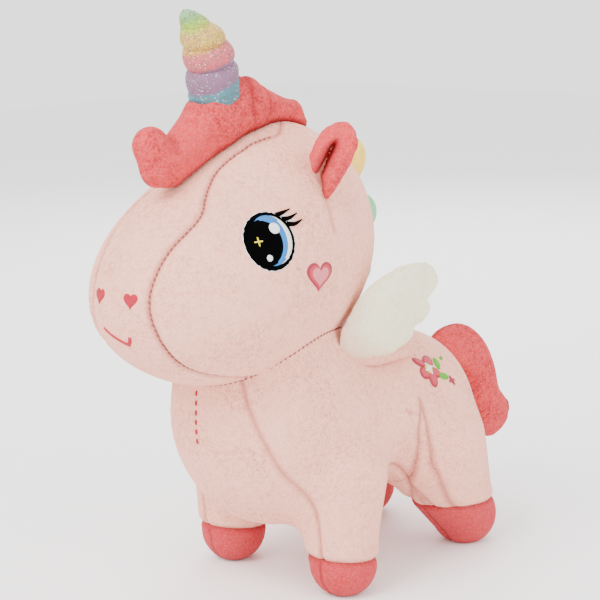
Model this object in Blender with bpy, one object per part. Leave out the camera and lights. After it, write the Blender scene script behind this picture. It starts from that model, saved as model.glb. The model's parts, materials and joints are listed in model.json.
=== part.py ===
"""Plush unicorn as sewn panels over stuffing, with flapping wings, folding ears and a wagging tail.

Front is -Y, the toy's left side is +X, up is +Z, and the soles stand on z = 0. Sizes in this file
are in millimetres and are turned into metres when a mesh is written.
"""

import math

import bmesh
import bpy
import numpy as np

MM = 0.001
MERGE = 0.00005                 # metres: far below any gap between pieces

# Driving sizes
SKIN = 2.0                      # pile fabric with its backing
GAP = 0.4                       # clearance between neighbouring pieces
STUFFING_INSET = 4.2            # stuffing surface below the outer face of the fabric
LEG_CUT = 27.0                  # height where the stuffing of a leg meets that of the trunk
SEAM_X = 45.0                   # half spacing of the long seams under the belly and down the legs
HOOF_HEIGHT = 22.0
HORN_BASE = (0.0, -86.0, 274.0)
HORN_TIP = (0.0, -104.5, 317.5)
HORN_RADIUS = 14.0
HORN_BEND = 5.0                 # how far the middle of the horn bows backwards
HORN_PROFILE = [(0, 14), (0.26, 13.5), (0.43, 12.5), (0.55, 11.9), (0.65, 10.6), (0.84, 7.1), (0.95, 4.2), (1, 1.2)]
WING_X = 38.0
WING_ROOT_Z = 124.0
TAIL_ROOT = (0.0, 82.0, 108.0)
EAR_BASE = (51.0, -52.0, 221.0)

# Cloth cells: the length of a mesh edge on each form
PANEL_CELL = 10.5
STUFFING_CELL = 13.0

COLOURS = {
    "pink_plush": (0.86, 0.68, 0.62),
    "coral_velour": (0.75, 0.22, 0.22),
    "cream_plush": (0.78, 0.80, 0.66),
    "white_stuffing": (0.9, 0.9, 0.9),
    "glitter_fabric": (0.55, 0.55, 0.65),
    "yellow_plush": (0.85, 0.62, 0.15),
    "green_plush": (0.25, 0.55, 0.30),
    "blue_plush": (0.30, 0.55, 0.70),
    "lilac_plush": (0.50, 0.40, 0.65),
    "black_thread": (0.02, 0.02, 0.02),
    "coral_thread": (0.75, 0.15, 0.15),
}


# ---------------------------------------------------------------- scene and material helpers

def clear_scene():
    for item in list(bpy.data.objects):
        bpy.data.objects.remove(item, do_unlink=True)


def material(slot):
    found = bpy.data.materials.get(slot)
    if found:
        return found
    made = bpy.data.materials.new(slot)
    made.use_nodes = True
    shader = made.node_tree.nodes["Principled BSDF"]
    shader.inputs["Base Color"].default_value = (*COLOURS[slot], 1.0)
    shader.inputs["Roughness"].default_value = 0.45 if slot == "glitter_fabric" else 0.95
    shader.inputs["Metallic"].default_value = 0.0
    return made


def add_object(name, points, faces, slot=None):
    """Add a mesh object from points in millimetres, its faces turned outwards."""
    mesh = bpy.data.meshes.new(name)
    mesh.from_pydata((np.asarray(points, float) * MM).tolist(), [], [list(f) for f in faces])
    made = bpy.data.objects.new(name, mesh)
    bpy.context.scene.collection.objects.link(made)
    turn_outwards(mesh)
    if slot:
        mesh.materials.append(material(slot))
        mesh.shade_smooth()
    else:
        made.hide_render = True
        made.display_type = "WIRE"
    return made


def turn_outwards(mesh):
    work = bmesh.new()
    work.from_mesh(mesh)
    bmesh.ops.recalc_face_normals(work, faces=work.faces)
    work.to_mesh(mesh)
    work.free()


def apply_modifiers(item):
    """Replace an object's mesh with the result of its modifiers."""
    graph = bpy.context.evaluated_depsgraph_get()
    result = bpy.data.meshes.new_from_object(item.evaluated_get(graph))
    item.modifiers.clear()
    item.data = result


def clean(mesh):
    """Merge the slivers that a cut leaves, and make every face a triangle."""
    work = bmesh.new()
    work.from_mesh(mesh)
    bmesh.ops.triangulate(work, faces=work.faces)
    bmesh.ops.remove_doubles(work, verts=work.verts, dist=MERGE)
    bmesh.ops.dissolve_degenerate(work, edges=work.edges, dist=MERGE)
    bmesh.ops.triangulate(work, faces=work.faces)
    work.to_mesh(mesh)
    work.free()


def boolean(item, other, operation):
    """Cut, join or intersect item with other, and apply the result at once."""
    step = item.modifiers.new(operation, "BOOLEAN")
    step.operation = operation
    step.solver = "EXACT"
    step.object = other
    apply_modifiers(item)
    clean(item.data)


def copy_of(item, name, slot=None):
    made = item.copy()
    made.name = name
    made.data = item.data.copy()
    made.data.name = name
    made.data.materials.clear()
    bpy.context.scene.collection.objects.link(made)
    if slot:
        made.hide_render = False
        made.display_type = "TEXTURED"
        made.data.materials.append(material(slot))
        made.data.shade_smooth()
    return made


def remove(*items):
    for item in items:
        bpy.data.objects.remove(item, do_unlink=True)


# ---------------------------------------------------------------- forms: distance from a soft shape

def ball(p, centre, radii):
    """About the distance from points p to an ellipsoid, negative inside it."""
    q = (p - np.array(centre)) / np.array(radii)
    reach = np.linalg.norm(q, axis=-1)
    slope = np.linalg.norm(q / np.array(radii), axis=-1)
    return reach * (reach - 1.0) / np.maximum(slope, 1e-9)


def rod(p, start, end, radius_start, radius_end):
    """Distance from points p to a round rod that tapers from start to end."""
    a = np.array(start, float)
    along = np.array(end, float) - a
    t = np.clip(((p - a) @ along) / (along @ along), 0.0, 1.0)
    nearest = a + t[..., None] * along
    return np.linalg.norm(p - nearest, axis=-1) - (radius_start + t * (radius_end - radius_start))


def soft_union(a, b, width):
    """Join two forms with a fillet as wide as width."""
    h = np.maximum(width - np.abs(a - b), 0.0) / width
    return np.minimum(a, b) - h * h * width / 4.0


HEAD_BALLS = [((0, -48, 192), (50, 62, 64)), ((0, -110, 172), (50, 50, 43))]
TRUNK_BALLS = [
    ((0, 6, 87), (56, 67, 42)),
    ((0, -55, 88), (50, 46, 54)),
    ((0, 56, 75), (48, 34, 45)),
]
NECK_ROD = ((0, -55, 105), (0, -67, 165), 48, 41)
FRONT_LEG = ((40, -42, 62), (43.5, -43.5, 16.5), 26, 18.5)
REAR_LEG = ((40, 38, 62), (40, 65, 17), 31, 19.5)
LOCK_RODS = [
    ((0, -127.5, 239), (0, -131, 251), 9.5, 11.5),
    ((0, -127, 238.5), (0, -88, 262), 9.5, 16),
    ((0, -88, 262), (0, -66, 266), 16, 15),
    ((0, -66, 266), (0, -30, 259.5), 15, 7.5),
    ((0, -30, 259.5), (0, -21, 253), 7.5, 4.5),
]


def head_form(p):
    return soft_union(ball(p, *HEAD_BALLS[0]), ball(p, *HEAD_BALLS[1]), 58.0)


def mirrored(p):
    """Points folded onto the toy's left side, for forms that are the same on both sides."""
    return np.abs(p[..., :1]) * [1, 0, 0] + p * [0, 1, 1]


def trunk_form(p):
    d = ball(p, *TRUNK_BALLS[0])
    for part in TRUNK_BALLS[1:]:
        d = soft_union(d, ball(p, *part), 25.0)
    d = soft_union(d, rod(p, *NECK_ROD), 25.0)
    side = mirrored(p)
    for leg in (FRONT_LEG, REAR_LEG):
        d = soft_union(d, rod(side, *leg), 14.0)
    return d


def lock_form(p):
    d = rod(p, *LOCK_RODS[0])
    for part in LOCK_RODS[1:]:
        d = soft_union(d, rod(p, *part), 5.0)
    return d


def slope_of(form, p, step=0.05):
    """Direction in which a form's distance grows fastest, at each point."""
    grad = np.stack([form(p + step * np.eye(3)[i]) - form(p - step * np.eye(3)[i]) for i in range(3)], -1)
    return grad / np.maximum(np.linalg.norm(grad, axis=-1, keepdims=True), 1e-9)


def pull_to(form, p, offset, rounds=8):
    """Move points along the slope until they lie at the given offset from the form."""
    for _ in range(rounds):
        p = p - slope_of(form, p) * (form(p) - offset)[..., None]
    return p


# ---------------------------------------------------------------- meshes from forms

def seed_mesh(balls, rods):
    work = bmesh.new()
    for centre, radii in balls:
        start = len(work.verts)
        bmesh.ops.create_icosphere(work, subdivisions=3, radius=1.0)
        work.verts.ensure_lookup_table()
        for v in work.verts[start:]:
            v.co = [(c + r * x) * MM for c, r, x in zip(centre, radii, v.co)]
    for a, b, ra, rb in rods:
        for t in np.linspace(0.0, 1.0, 7):
            start = len(work.verts)
            bmesh.ops.create_icosphere(work, subdivisions=2, radius=1.0)
            work.verts.ensure_lookup_table()
            for v in work.verts[start:]:
                v.co = [(p + t * (q - p) + (ra + t * (rb - ra)) * x) * MM for p, q, x in zip(a, b, v.co)]
    mesh = bpy.data.meshes.new("seed")
    work.to_mesh(mesh)
    work.free()
    return mesh


def coordinates(mesh):
    flat = np.empty(len(mesh.vertices) * 3)
    mesh.vertices.foreach_get("co", flat)
    return flat.reshape(-1, 3) / MM


def form_object(name, form, balls, rods, offset, cell, floor=None):
    """Closed mesh that lies at an offset from a form, with edges about one cell long."""
    item = bpy.data.objects.new(name, seed_mesh(balls, rods))
    bpy.context.scene.collection.objects.link(item)
    item.hide_render = True
    item.display_type = "WIRE"
    for _ in range(2):
        step = item.modifiers.new("Remesh", "REMESH")
        step.mode = "VOXEL"
        step.voxel_size = cell * MM
        apply_modifiers(item)
        points = pull_to(form, coordinates(item.data), offset)
        if floor is not None:
            points[:, 2] = np.maximum(points[:, 2], floor)
        item.data.vertices.foreach_set("co", (points * MM).ravel())
        item.data.update()
    clean(item.data)
    return item


def split_at(work, field):
    """Cut a surface along the line where a field reaches minus half a gap, and drop what lies beyond."""
    home = work.verts.layers.float_vector.new("home")
    points = np.array([v.co for v in work.verts]) / MM
    values = field(points) * MM
    for v, value in zip(work.verts, values):
        v[home] = v.co
        v.co.x = value
    geometry = work.verts[:] + work.edges[:] + work.faces[:]
    bmesh.ops.bisect_plane(work, geom=geometry, dist=1e-9, plane_co=(-GAP / 2 * MM, 0, 0),
                           plane_no=(1, 0, 0), clear_outer=True)
    for v in work.verts:
        v.co = v[home]
    work.verts.layers.float_vector.remove(home)


def cloth_panel(name, slot, whole, form, fields, floor=None):
    """Fabric panel: the part of a form's surface where every field is negative, SKIN thick."""
    work = bmesh.new()
    work.from_mesh(whole.data)
    for field in fields:
        split_at(work, field)
    bmesh.ops.remove_doubles(work, verts=work.verts, dist=MERGE)
    bmesh.ops.triangulate(work, faces=work.faces)
    work.verts.index_update()
    outer = np.array([v.co for v in work.verts]) / MM
    inner = pull_to(form, outer, -SKIN)
    if floor is not None:
        inner[:, 2] = np.maximum(inner[:, 2], floor)
    n = len(outer)
    faces = [[v.index for v in f.verts] for f in work.faces]
    faces += [[v.index + n for v in reversed(f.verts)] for f in work.faces]
    for edge in work.edges:
        if edge.is_boundary:
            a, b = (loop.vert.index for loop in (edge.link_loops[0], edge.link_loops[0].link_loop_next))
            faces.append([b, a, a + n, b + n])
    work.free()
    return add_object(name, np.concatenate([outer, inner]), faces, slot)


def solid_part(name, slot, whole, planes):
    """Closed part of a solid: cut by planes, each a point and the normal of the side dropped."""
    work = bmesh.new()
    work.from_mesh(whole.data)
    for point, normal in planes:
        geometry = work.verts[:] + work.edges[:] + work.faces[:]
        cut = bmesh.ops.bisect_plane(work, geom=geometry, dist=MERGE, plane_co=[v * MM for v in point],
                                     plane_no=normal, clear_outer=True)
        edges = [e for e in cut["geom_cut"] if isinstance(e, bmesh.types.BMEdge) and e.is_boundary]
        bmesh.ops.contextual_create(work, geom=edges)
    bmesh.ops.triangulate(work, faces=work.faces)
    mesh = bpy.data.meshes.new(name)
    work.to_mesh(mesh)
    work.free()
    made = bpy.data.objects.new(name, mesh)
    bpy.context.scene.collection.objects.link(made)
    turn_outwards(mesh)
    mesh.materials.append(material(slot))
    mesh.shade_smooth()
    return made


def cut_piece(whole, name, slot, keep=(), drop=()):
    """A named piece of a closed mesh: what all the keep cutters share, less the drop cutters."""
    item = copy_of(whole, name, slot)
    for cutter in keep:
        boolean(item, cutter, "INTERSECT")
    for cutter in drop:
        boolean(item, cutter, "DIFFERENCE")
    if not item.data.polygons:
        raise RuntimeError(f"{name} has no faces left after its cuts")
    return item


# ---------------------------------------------------------------- flat-sewn pieces

def smooth_outline(points, count):
    """Closed curve through a few points, as count points (Catmull-Rom)."""
    p = np.array(points, float)
    n = len(p)
    s = np.arange(count) * n / count
    i = s.astype(int)
    t = (s - i)[:, None]
    a, b, c, d = p[(i - 1) % n], p[i % n], p[(i + 1) % n], p[(i + 2) % n]
    return 0.5 * (2 * b + (c - a) * t + (2 * a - 5 * b + 4 * c - d) * t**2 + (3 * b - a - 3 * c + d) * t**3)


def round_outline(width, height, count=18):
    turn = np.arange(count) * 2 * math.pi / count
    return np.stack([width * np.cos(turn), height * np.sin(turn)], -1)


def heart_outline(width, height, count=20):
    turn = np.arange(count) * 2 * math.pi / count
    x = np.sin(turn) ** 3
    y = (13 * np.cos(turn) - 5 * np.cos(2 * turn) - 2 * np.cos(3 * turn) - np.cos(4 * turn)) / 15 + 0.1
    return np.stack([width * x, height * y], -1)


def flower_outline(radius, petals=5, count=30):
    turn = np.arange(count) * 2 * math.pi / count
    reach = radius * (0.78 + 0.22 * np.cos(petals * turn))
    return np.stack([reach * np.cos(turn), reach * np.sin(turn)], -1)


def sandwich(name, slot, lower, upper):
    """Closed piece between two ring grids; each grid is rings by points by 3, its ring 0 a centre."""
    rings, count = lower.shape[:2]
    points = [lower[0, 0], upper[0, 0]]
    points += list(lower[1:].reshape(-1, 3)) + list(upper[1:].reshape(-1, 3))
    low, high = 2, 2 + (rings - 1) * count
    faces = []
    for j in range(count):
        k = (j + 1) % count
        faces += [(0, low + k, low + j), (1, high + j, high + k)]
        for r in range(rings - 2):
            a, b = r * count, (r + 1) * count
            faces.append((low + a + j, low + a + k, low + b + k, low + b + j))
            faces.append((high + a + k, high + a + j, high + b + j, high + b + k))
        edge = (rings - 2) * count
        faces.append((low + edge + j, low + edge + k, high + edge + k, high + edge + j))
    return add_object(name, points, faces, slot)


def ring_grid(outline, centre, rings):
    fraction = np.linspace(0.0, 1.0, rings)[:, None, None]
    return np.array(centre) + fraction * (outline[None] - np.array(centre)), fraction[..., 0]


def patch(name, slot, form, centre, outline, lift=GAP, thickness=0.9, rings=3):
    """Embroidered patch: an outline laid on a form, standing clear of it by lift."""
    middle = pull_to(form, np.array([centre], float), 0.0)[0]
    normal = slope_of(form, middle[None])[0]
    across = np.cross([0, 0, 1], normal)
    across /= np.linalg.norm(across)
    up = np.cross(normal, across)
    flat, _ = ring_grid(outline, (0, 0), rings)
    points = middle + flat[..., :1] * across + flat[..., 1:] * up
    lower = pull_to(form, points, lift)
    upper = pull_to(form, points, lift + thickness)
    return sandwich(name, slot, lower, upper)


def pillow(name, slot, outline, centre, place, front, back, rings=4):
    """Sewn piece that is thickest in the middle: front and back are its depths either side."""
    flat, fraction = ring_grid(outline, centre, rings)
    crown = np.sqrt(np.maximum(1.0 - fraction**2, 0.0)) * 0.85 + 0.15
    faces = []
    for depth, sign in ((back, -1), (front, 1)):
        w = sign * (depth * crown if depth > 1 else depth + 0 * crown)
        faces.append(place(flat[..., 0], flat[..., 1], w + 0 * flat[..., 0]))
    return sandwich(name, slot, faces[0], faces[1])


# ---------------------------------------------------------------- trunk and legs

FAN_CENTRE = (0.0, 95.0)
# Angle round the trunk (0 front, -90 down, -180 back) and half width of the under panels there
UNDER_SEAM = [
    (-172, -4), (-168, 4), (-160, 20), (-150, 46), (-114, 50), (-106, SEAM_X), (-80, SEAM_X), (-31, 46),
    (-21, 43), (-2, 38), (11, 29), (18, 25), (46, 21), (60, -4),
]
BELLY_SEAM = [(-172, -4), (-166, 2), (-150, 8), (-135, 14), (-118, 22), (-106, SEAM_X), (0, SEAM_X), (20, -4)]
CHEST_END = -80
# Height and how far back the two edges of the thigh dart lie
DART_FRONT = [(20, 12), (40, 10), (48, 9), (62, 7.5), (84, 7), (99, 11)]
DART_BACK = [(20, 46), (36, 30), (50, 19), (62, 13.5), (84, 13), (99, 11)]
LEGS = {"front_left": (1, -42), "front_right": (-1, -42), "rear_left": (1, 65), "rear_right": (-1, 65)}


def leg_rods():
    rods = [NECK_ROD]
    for start, end, ra, rb in (FRONT_LEG, REAR_LEG):
        for side in (1, -1):
            rods.append(((side * start[0], *start[1:]), (side * end[0], *end[1:]), ra, rb))
    return rods


def shifted_copy(item, form, offset, floor, name):
    """The same mesh pulled to another offset of its form, so that the two never cross."""
    made = copy_of(item, name)
    points = pull_to(form, coordinates(made.data), offset)
    if floor is not None:
        points[:, 2] = np.maximum(points[:, 2], floor)
    made.data.vertices.foreach_set("co", (points * MM).ravel())
    return made


def past_seam(p, seam, centre):
    """How far sideways points lie past a seam whose half width depends on the angle round centre."""
    angle = np.degrees(np.arctan2(p[:, 2] - centre[1], centre[0] - p[:, 1]))
    return np.abs(p[:, 0]) - np.interp(angle, *zip(*seam))


def under(p):
    return past_seam(p, UNDER_SEAM, FAN_CENTRE)


def belly(p):
    return past_seam(p, BELLY_SEAM, FAN_CENTRE)


def behind_chest(p):
    a = math.radians(CHEST_END)
    return -(p[:, 1] - FAN_CENTRE[0]) * math.sin(a) - (p[:, 2] - FAN_CENTRE[1]) * math.cos(a)


def thigh_dart(p):
    """Wedge that runs up the thigh: negative between its two edges, outside the leg seam."""
    front = np.interp(p[:, 2], *zip(*DART_FRONT)) - p[:, 1]
    back = p[:, 1] - np.interp(p[:, 2], *zip(*DART_BACK))
    return np.maximum.reduce([front, back, SEAM_X - np.abs(p[:, 0]), p[:, 2] - 99])


def under_or_dart(p):
    return np.minimum(under(p), thigh_dart(p))


def above_hooves(p):
    return HOOF_HEIGHT - p[:, 2]


def in_hoof(p):
    return p[:, 2] - HOOF_HEIGHT


def clear_of_head(p):
    """The trunk panels end short of the head by their own thickness and a gap."""
    return SKIN + GAP - head_form(p)


def trunk_panels(outer):
    """Panels of pile fabric over the trunk and legs."""
    shared = [above_hooves, clear_of_head]
    rows = {
        "chest_panel": [under, behind_chest],
        "belly_panel": [lambda p: belly(p) + 2 * GAP, lambda p: -behind_chest(p)],
    }
    for side, word in ((1, "left"), (-1, "right")):
        def other_side(p, side=side):
            return -side * p[:, 0]
        rows[f"{word}_leg_gusset"] = [
            other_side, lambda p: -belly(p), under_or_dart, lambda p: -behind_chest(p),
        ]
        rows[f"{word}_side_panel"] = [other_side, lambda p: -under_or_dart(p)]
    for name, fields in rows.items():
        cloth_panel(name, "pink_plush", outer, trunk_form, fields + shared)


def hoof_covers(outer):
    """Two halves of a rounded cover at the end of each leg, met on a seam down its middle."""
    for leg, (side, y) in LEGS.items():
        middle = FRONT_LEG[1][0] if y < 0 else REAR_LEG[1][0]
        for word, sign in (("outer", 1), ("inner", -1)):
            def past_middle(p, side=side, sign=sign, middle=middle):
                return sign * (middle - side * p[:, 0])

            def other_legs(p, side=side, y=y):
                return np.maximum(-side * p[:, 0], -math.copysign(1, y) * (p[:, 1] - 8))
            fields = [in_hoof, other_legs, past_middle]
            cloth_panel(f"{leg}_hoof_{word}", "coral_velour", outer, trunk_form, fields, floor=SKIN)


def trunk_stuffing(head_guard):
    core = form_object("core", trunk_form, TRUNK_BALLS, leg_rods(), -STUFFING_INSET, STUFFING_CELL,
                       floor=STUFFING_INSET)
    item = solid_part("trunk_stuffing", "white_stuffing", core, [((0, 0, LEG_CUT + GAP / 2), (0, 0, -1))])
    boolean(item, head_guard, "DIFFERENCE")
    for leg, (side, y) in LEGS.items():
        planes = [
            ((0, 0, LEG_CUT - GAP / 2), (0, 0, 1)),
            ((0, 0, 0), (-side, 0, 0)),
            ((0, 8, 0), (0, -math.copysign(1, y), 0)),
        ]
        solid_part(f"{leg}_leg_stuffing", "white_stuffing", core, planes)
    remove(core)


def trunk(head_guard):
    outer = form_object("trunk_outer", trunk_form, TRUNK_BALLS, leg_rods(), 0.0, PANEL_CELL, floor=0.0)
    guard = shifted_copy(outer, trunk_form, GAP + 0.3, None, "trunk_guard")
    hoof_covers(outer)
    trunk_panels(outer)
    trunk_stuffing(head_guard)
    remove(outer)
    return guard


# ---------------------------------------------------------------- head

HEAD_FAN = (-85.0, 188.0)
# Angle round the head (0 nose, 90 up, -90 chin) and half width of the face gusset there
FACE_SEAM = [
    (-112, -4), (-106, 20), (-92, 28), (-72, 30), (-56, 29), (-40, 25), (-24, 24), (-8, 21), (12, 23),
    (28, 26), (40, 26), (56, 19), (72, 14), (88, 14), (104, 17), (116, 20), (124, -4),
]


def face(p):
    return past_seam(p, FACE_SEAM, HEAD_FAN)


def clear_of_neck(p):
    """Keeps the neck opening of the head free, as wide as the inside of the neck."""
    return -SKIN - rod(p, *NECK_ROD)


def head(outer):
    cloth_panel("face_gusset", "pink_plush", outer, head_form, [face, clear_of_neck])
    for side, word in ((1, "left"), (-1, "right")):
        def other_side(p, side=side):
            return -side * p[:, 0]
        fields = [other_side, lambda p: -face(p), clear_of_neck]
        cloth_panel(f"{word}_cheek_panel", "pink_plush", outer, head_form, fields)
    core = form_object("core", head_form, HEAD_BALLS, [], -STUFFING_INSET, STUFFING_CELL)
    solid_part("head_stuffing", "white_stuffing", core, [])
    remove(core)


def face_details():
    for side, word in ((1, "left"), (-1, "right")):
        patch(f"{word}_eye", "black_thread", head_form, (side * 50, -98, 203), round_outline(14.5, 15.5))
        patch(f"{word}_cheek_heart", "coral_thread", head_form, (side * 56, -70, 182), heart_outline(10, 8))
        patch(f"{word}_nostril", "coral_thread", head_form, (side * 11.5, -158, 178),
              heart_outline(4, 4), rings=3)
    mouth = smooth_outline([(-9, 1.5), (0, -2.5), (9, 1.5), (8, 3.5), (0, 0.5), (-8, 3.5)], 24)
    patch("mouth", "coral_thread", head_form, (0, -157, 156), mouth, rings=3)


def body_details():
    stitch = smooth_outline([(-1.6, -14), (1.6, -14), (1.6, 14), (-1.6, 14)], 20)
    patch("chest_stitches", "coral_thread", trunk_form, (0, -108, 106), stitch, rings=3)
    for side, word in ((1, "left"), (-1, "right")):
        patch(f"{word}_hip_flower", "coral_thread", trunk_form, (side * 43, 30, 110), flower_outline(9))


# ---------------------------------------------------------------- forelock, horn and mane

def forelock(guards):
    core = form_object("core", lock_form, [], LOCK_RODS, 0.0, 6.0)
    cut_piece(core, "forelock", "coral_velour", drop=guards)
    remove(core)


def horn_grid(radius, tip_gap, base_drop, turns=5.0, bulge=0.0, rings=22, count=18):
    """Cone with a rounded rope-like spiral: rings by points, in place on the horn's own axis."""
    base, tip = np.array(HORN_BASE), np.array(HORN_TIP)
    axis = (tip - base) / np.linalg.norm(tip - base)
    length = np.linalg.norm(tip - base) - tip_gap
    t = np.linspace(0.0, 1.0, rings)[:, None]
    turn = np.arange(count)[None] * 2 * math.pi / count
    cone = np.interp(t, *zip(*HORN_PROFILE)) * radius / HORN_RADIUS
    wave = np.abs(np.sin(math.pi * turns * t + turn / 2))
    reach = cone * (1.0 - bulge + bulge * wave) + 0 * turn
    side = np.array([1.0, 0.0, 0.0])
    front = np.cross(axis, side)
    along = base + axis * (t * (length + base_drop) - base_drop)[..., None]
    along = along + front * (HORN_BEND * np.sin(math.pi * np.clip(t, 0.0, 1.0)))[..., None]
    return along + reach[..., None] * (np.cos(turn)[..., None] * side + np.sin(turn)[..., None] * front)


def closed_grid(name, slot, grid):
    rings, count = grid.shape[:2]
    points = grid.reshape(-1, 3)
    faces = [tuple(range(count)), tuple(range(rings * count - 1, (rings - 1) * count - 1, -1))]
    for r in range(rings - 1):
        for j in range(count):
            k = (j + 1) % count
            faces.append((r * count + j, r * count + k, (r + 1) * count + k, (r + 1) * count + j))
    return add_object(name, points, faces, slot)


def horn():
    cover = closed_grid("horn_cover", "glitter_fabric", horn_grid(HORN_RADIUS, 0.0, 0.0, bulge=0.14))
    hollow = closed_grid("hollow", None, horn_grid(HORN_RADIUS - 4.0, 6.0, 1.0, rings=8))
    boolean(cover, hollow, "DIFFERENCE")
    closed_grid("horn_stuffing", "white_stuffing", horn_grid(HORN_RADIUS - 5.0, 9.0, -1.0, rings=8))
    remove(hollow)


def horn_guard():
    return closed_grid("horn_guard", None, horn_grid(HORN_RADIUS + 0.6, -4.0, 0.8, rings=6))


MANE_LOBES = [
    ("yellow", (9, 227), 18, 14, 35),
    ("green", (17, 197), 17, 13.5, 10),
    ("blue", (12, 169), 17, 13, -20),
    ("lilac", (-1, 145), 16, 11, -40),
]


def mane(guards):
    """Row of stuffed locks down the back of the head, flattened from side to side."""
    for colour, (y, z), length, height, tilt in MANE_LOBES:
        c, s = math.cos(math.radians(tilt)), math.sin(math.radians(tilt))
        flat = round_outline(length, height, 18)
        outline = np.stack([y + c * flat[:, 0] - s * flat[:, 1], z + s * flat[:, 0] + c * flat[:, 1]], -1)
        item = pillow(f"mane_{colour}", f"{colour}_plush", outline, (y, z), in_side_plane(0.0), 11.0, 11.0)
        for guard in guards:
            boolean(item, guard, "DIFFERENCE")
        item.data.shade_smooth()


def in_side_plane(x):
    """Placing function for a piece drawn in (y, z), with its depth along X."""
    return lambda u, v, w: np.stack([x + w, u, v], -1)


# ---------------------------------------------------------------- moving pieces

WING_OUTLINE = [
    (-43, 145.5), (-38, 155), (-33, 164), (-23, 171), (0, 177.5), (16, 175.5), (31, 164.5), (30, 156), (32, 147),
    (22, 135), (14, 128), (6, 123.5), (-4, 124), (-18, 128.5), (-31, 136),
]
WING_LEAN = 0.3                 # how far the wing leans outwards for each millimetre up
TAIL_OUTLINE = [
    (82, 110), (90, 117), (104, 119.5), (118, 117), (132, 106), (142, 88), (148, 67), (159.5, 57), (157, 43),
    (142, 36), (128, 42), (119, 58), (113, 78), (103, 93), (93, 99), (86, 103),
]
EAR_OUTLINE = [
    (0, 0), (4, 3), (9, 13), (13, 23), (14.5, 32), (11.5, 40), (6, 44), (-1, 43), (-7, 39), (-10.5, 32), (-12, 25),
    (-10, 18), (-6, 12), (-3.4, 6),
]


def empty_at(name, place):
    made = bpy.data.objects.new(name, None)
    made.location = [v * MM for v in place]
    bpy.context.scene.collection.objects.link(made)
    return made


def hang_on(item, pivot):
    """Parent a moving piece to the empty on its joint, and leave it where it is."""
    item.parent = pivot
    item.matrix_parent_inverse.translation = [-v for v in pivot.location]


def wing_place(side):
    return lambda u, v, w: np.stack([side * (WING_X + WING_LEAN * (v - WING_ROOT_Z)) + w, u, v], -1)


def wings():
    outline = smooth_outline(WING_OUTLINE, 28)
    for side, word in ((1, "left"), (-1, "right")):
        pivot = empty_at(f"{word}_wing_pivot", (side * WING_X, 3, WING_ROOT_Z))
        depths = {"outer": (6.5, -GAP / 2), "inner": (-GAP / 2, 4.0)}
        for face, (front, back) in depths.items():
            if side < 0:
                front, back = back, front
            item = pillow(f"{word}_wing_{face}", "cream_plush", outline, (0, 150), wing_place(side), front, back)
            hang_on(item, pivot)


def tail():
    outline = smooth_outline(TAIL_OUTLINE, 28)
    pivot = empty_at("tail_pivot", TAIL_ROOT)
    for side, word in ((1, "left"), (-1, "right")):
        front, back = (12.0, -GAP / 2) if side > 0 else (-GAP / 2, 12.0)
        item = pillow(f"tail_{word}", "coral_velour", outline, (128, 78), in_side_plane(0.0), front, back)
        hang_on(item, pivot)


def ear_place(side):
    """Cupped leaf that stands on the side of the head and faces forwards and out."""
    heading, lean = math.radians(42), math.radians(6)
    normal = np.array([side * math.sin(heading), -math.cos(heading), 0.0])
    across = np.array([side * math.cos(heading), math.sin(heading), 0.0])
    up = np.array([side * math.sin(lean), 0.12, math.cos(lean)])
    base = np.array([side * EAR_BASE[0], EAR_BASE[1], EAR_BASE[2]])

    def place(u, v, w):
        cup = 0.022 * u**2
        return base + u[..., None] * across + v[..., None] * up + (w + cup)[..., None] * normal
    return place


def ears():
    outline = smooth_outline(EAR_OUTLINE, 22)
    for side, word in ((1, "left"), (-1, "right")):
        pivot = empty_at(f"{word}_ear_pivot", (side * EAR_BASE[0], EAR_BASE[1], EAR_BASE[2]))
        for face, slot, front, back in (
            ("inner", "coral_velour", 2.5, -GAP / 2),
            ("outer", "pink_plush", -GAP / 2, 2.5),
        ):
            item = pillow(f"{word}_ear_{face}", slot, outline, (0, 21), ear_place(side), front, back)
            hang_on(item, pivot)


def main():
    clear_scene()
    head_outer = form_object("head_outer", head_form, HEAD_BALLS, [], 0.0, PANEL_CELL)
    head_guard = shifted_copy(head_outer, head_form, GAP + 0.3, None, "head_guard")
    trunk_guard = trunk(head_guard)
    head(head_outer)
    face_details()
    body_details()
    cone = horn_guard()
    forelock([head_guard, cone])
    horn()
    mane([head_guard, trunk_guard])
    wings()
    tail()
    ears()
    remove(trunk_guard, head_outer, head_guard, cone)


main()
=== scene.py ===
"""Plush unicorn: sewn pile panels, simulated stuffed pads, a wound glitter horn and raised embroidery.

Front is -Y, the toy's left side is +X, up is +Z, and the soles stand on z = 0. Lengths in this file
are in millimetres and are turned into metres when a mesh is written.
"""

import json
import math

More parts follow.
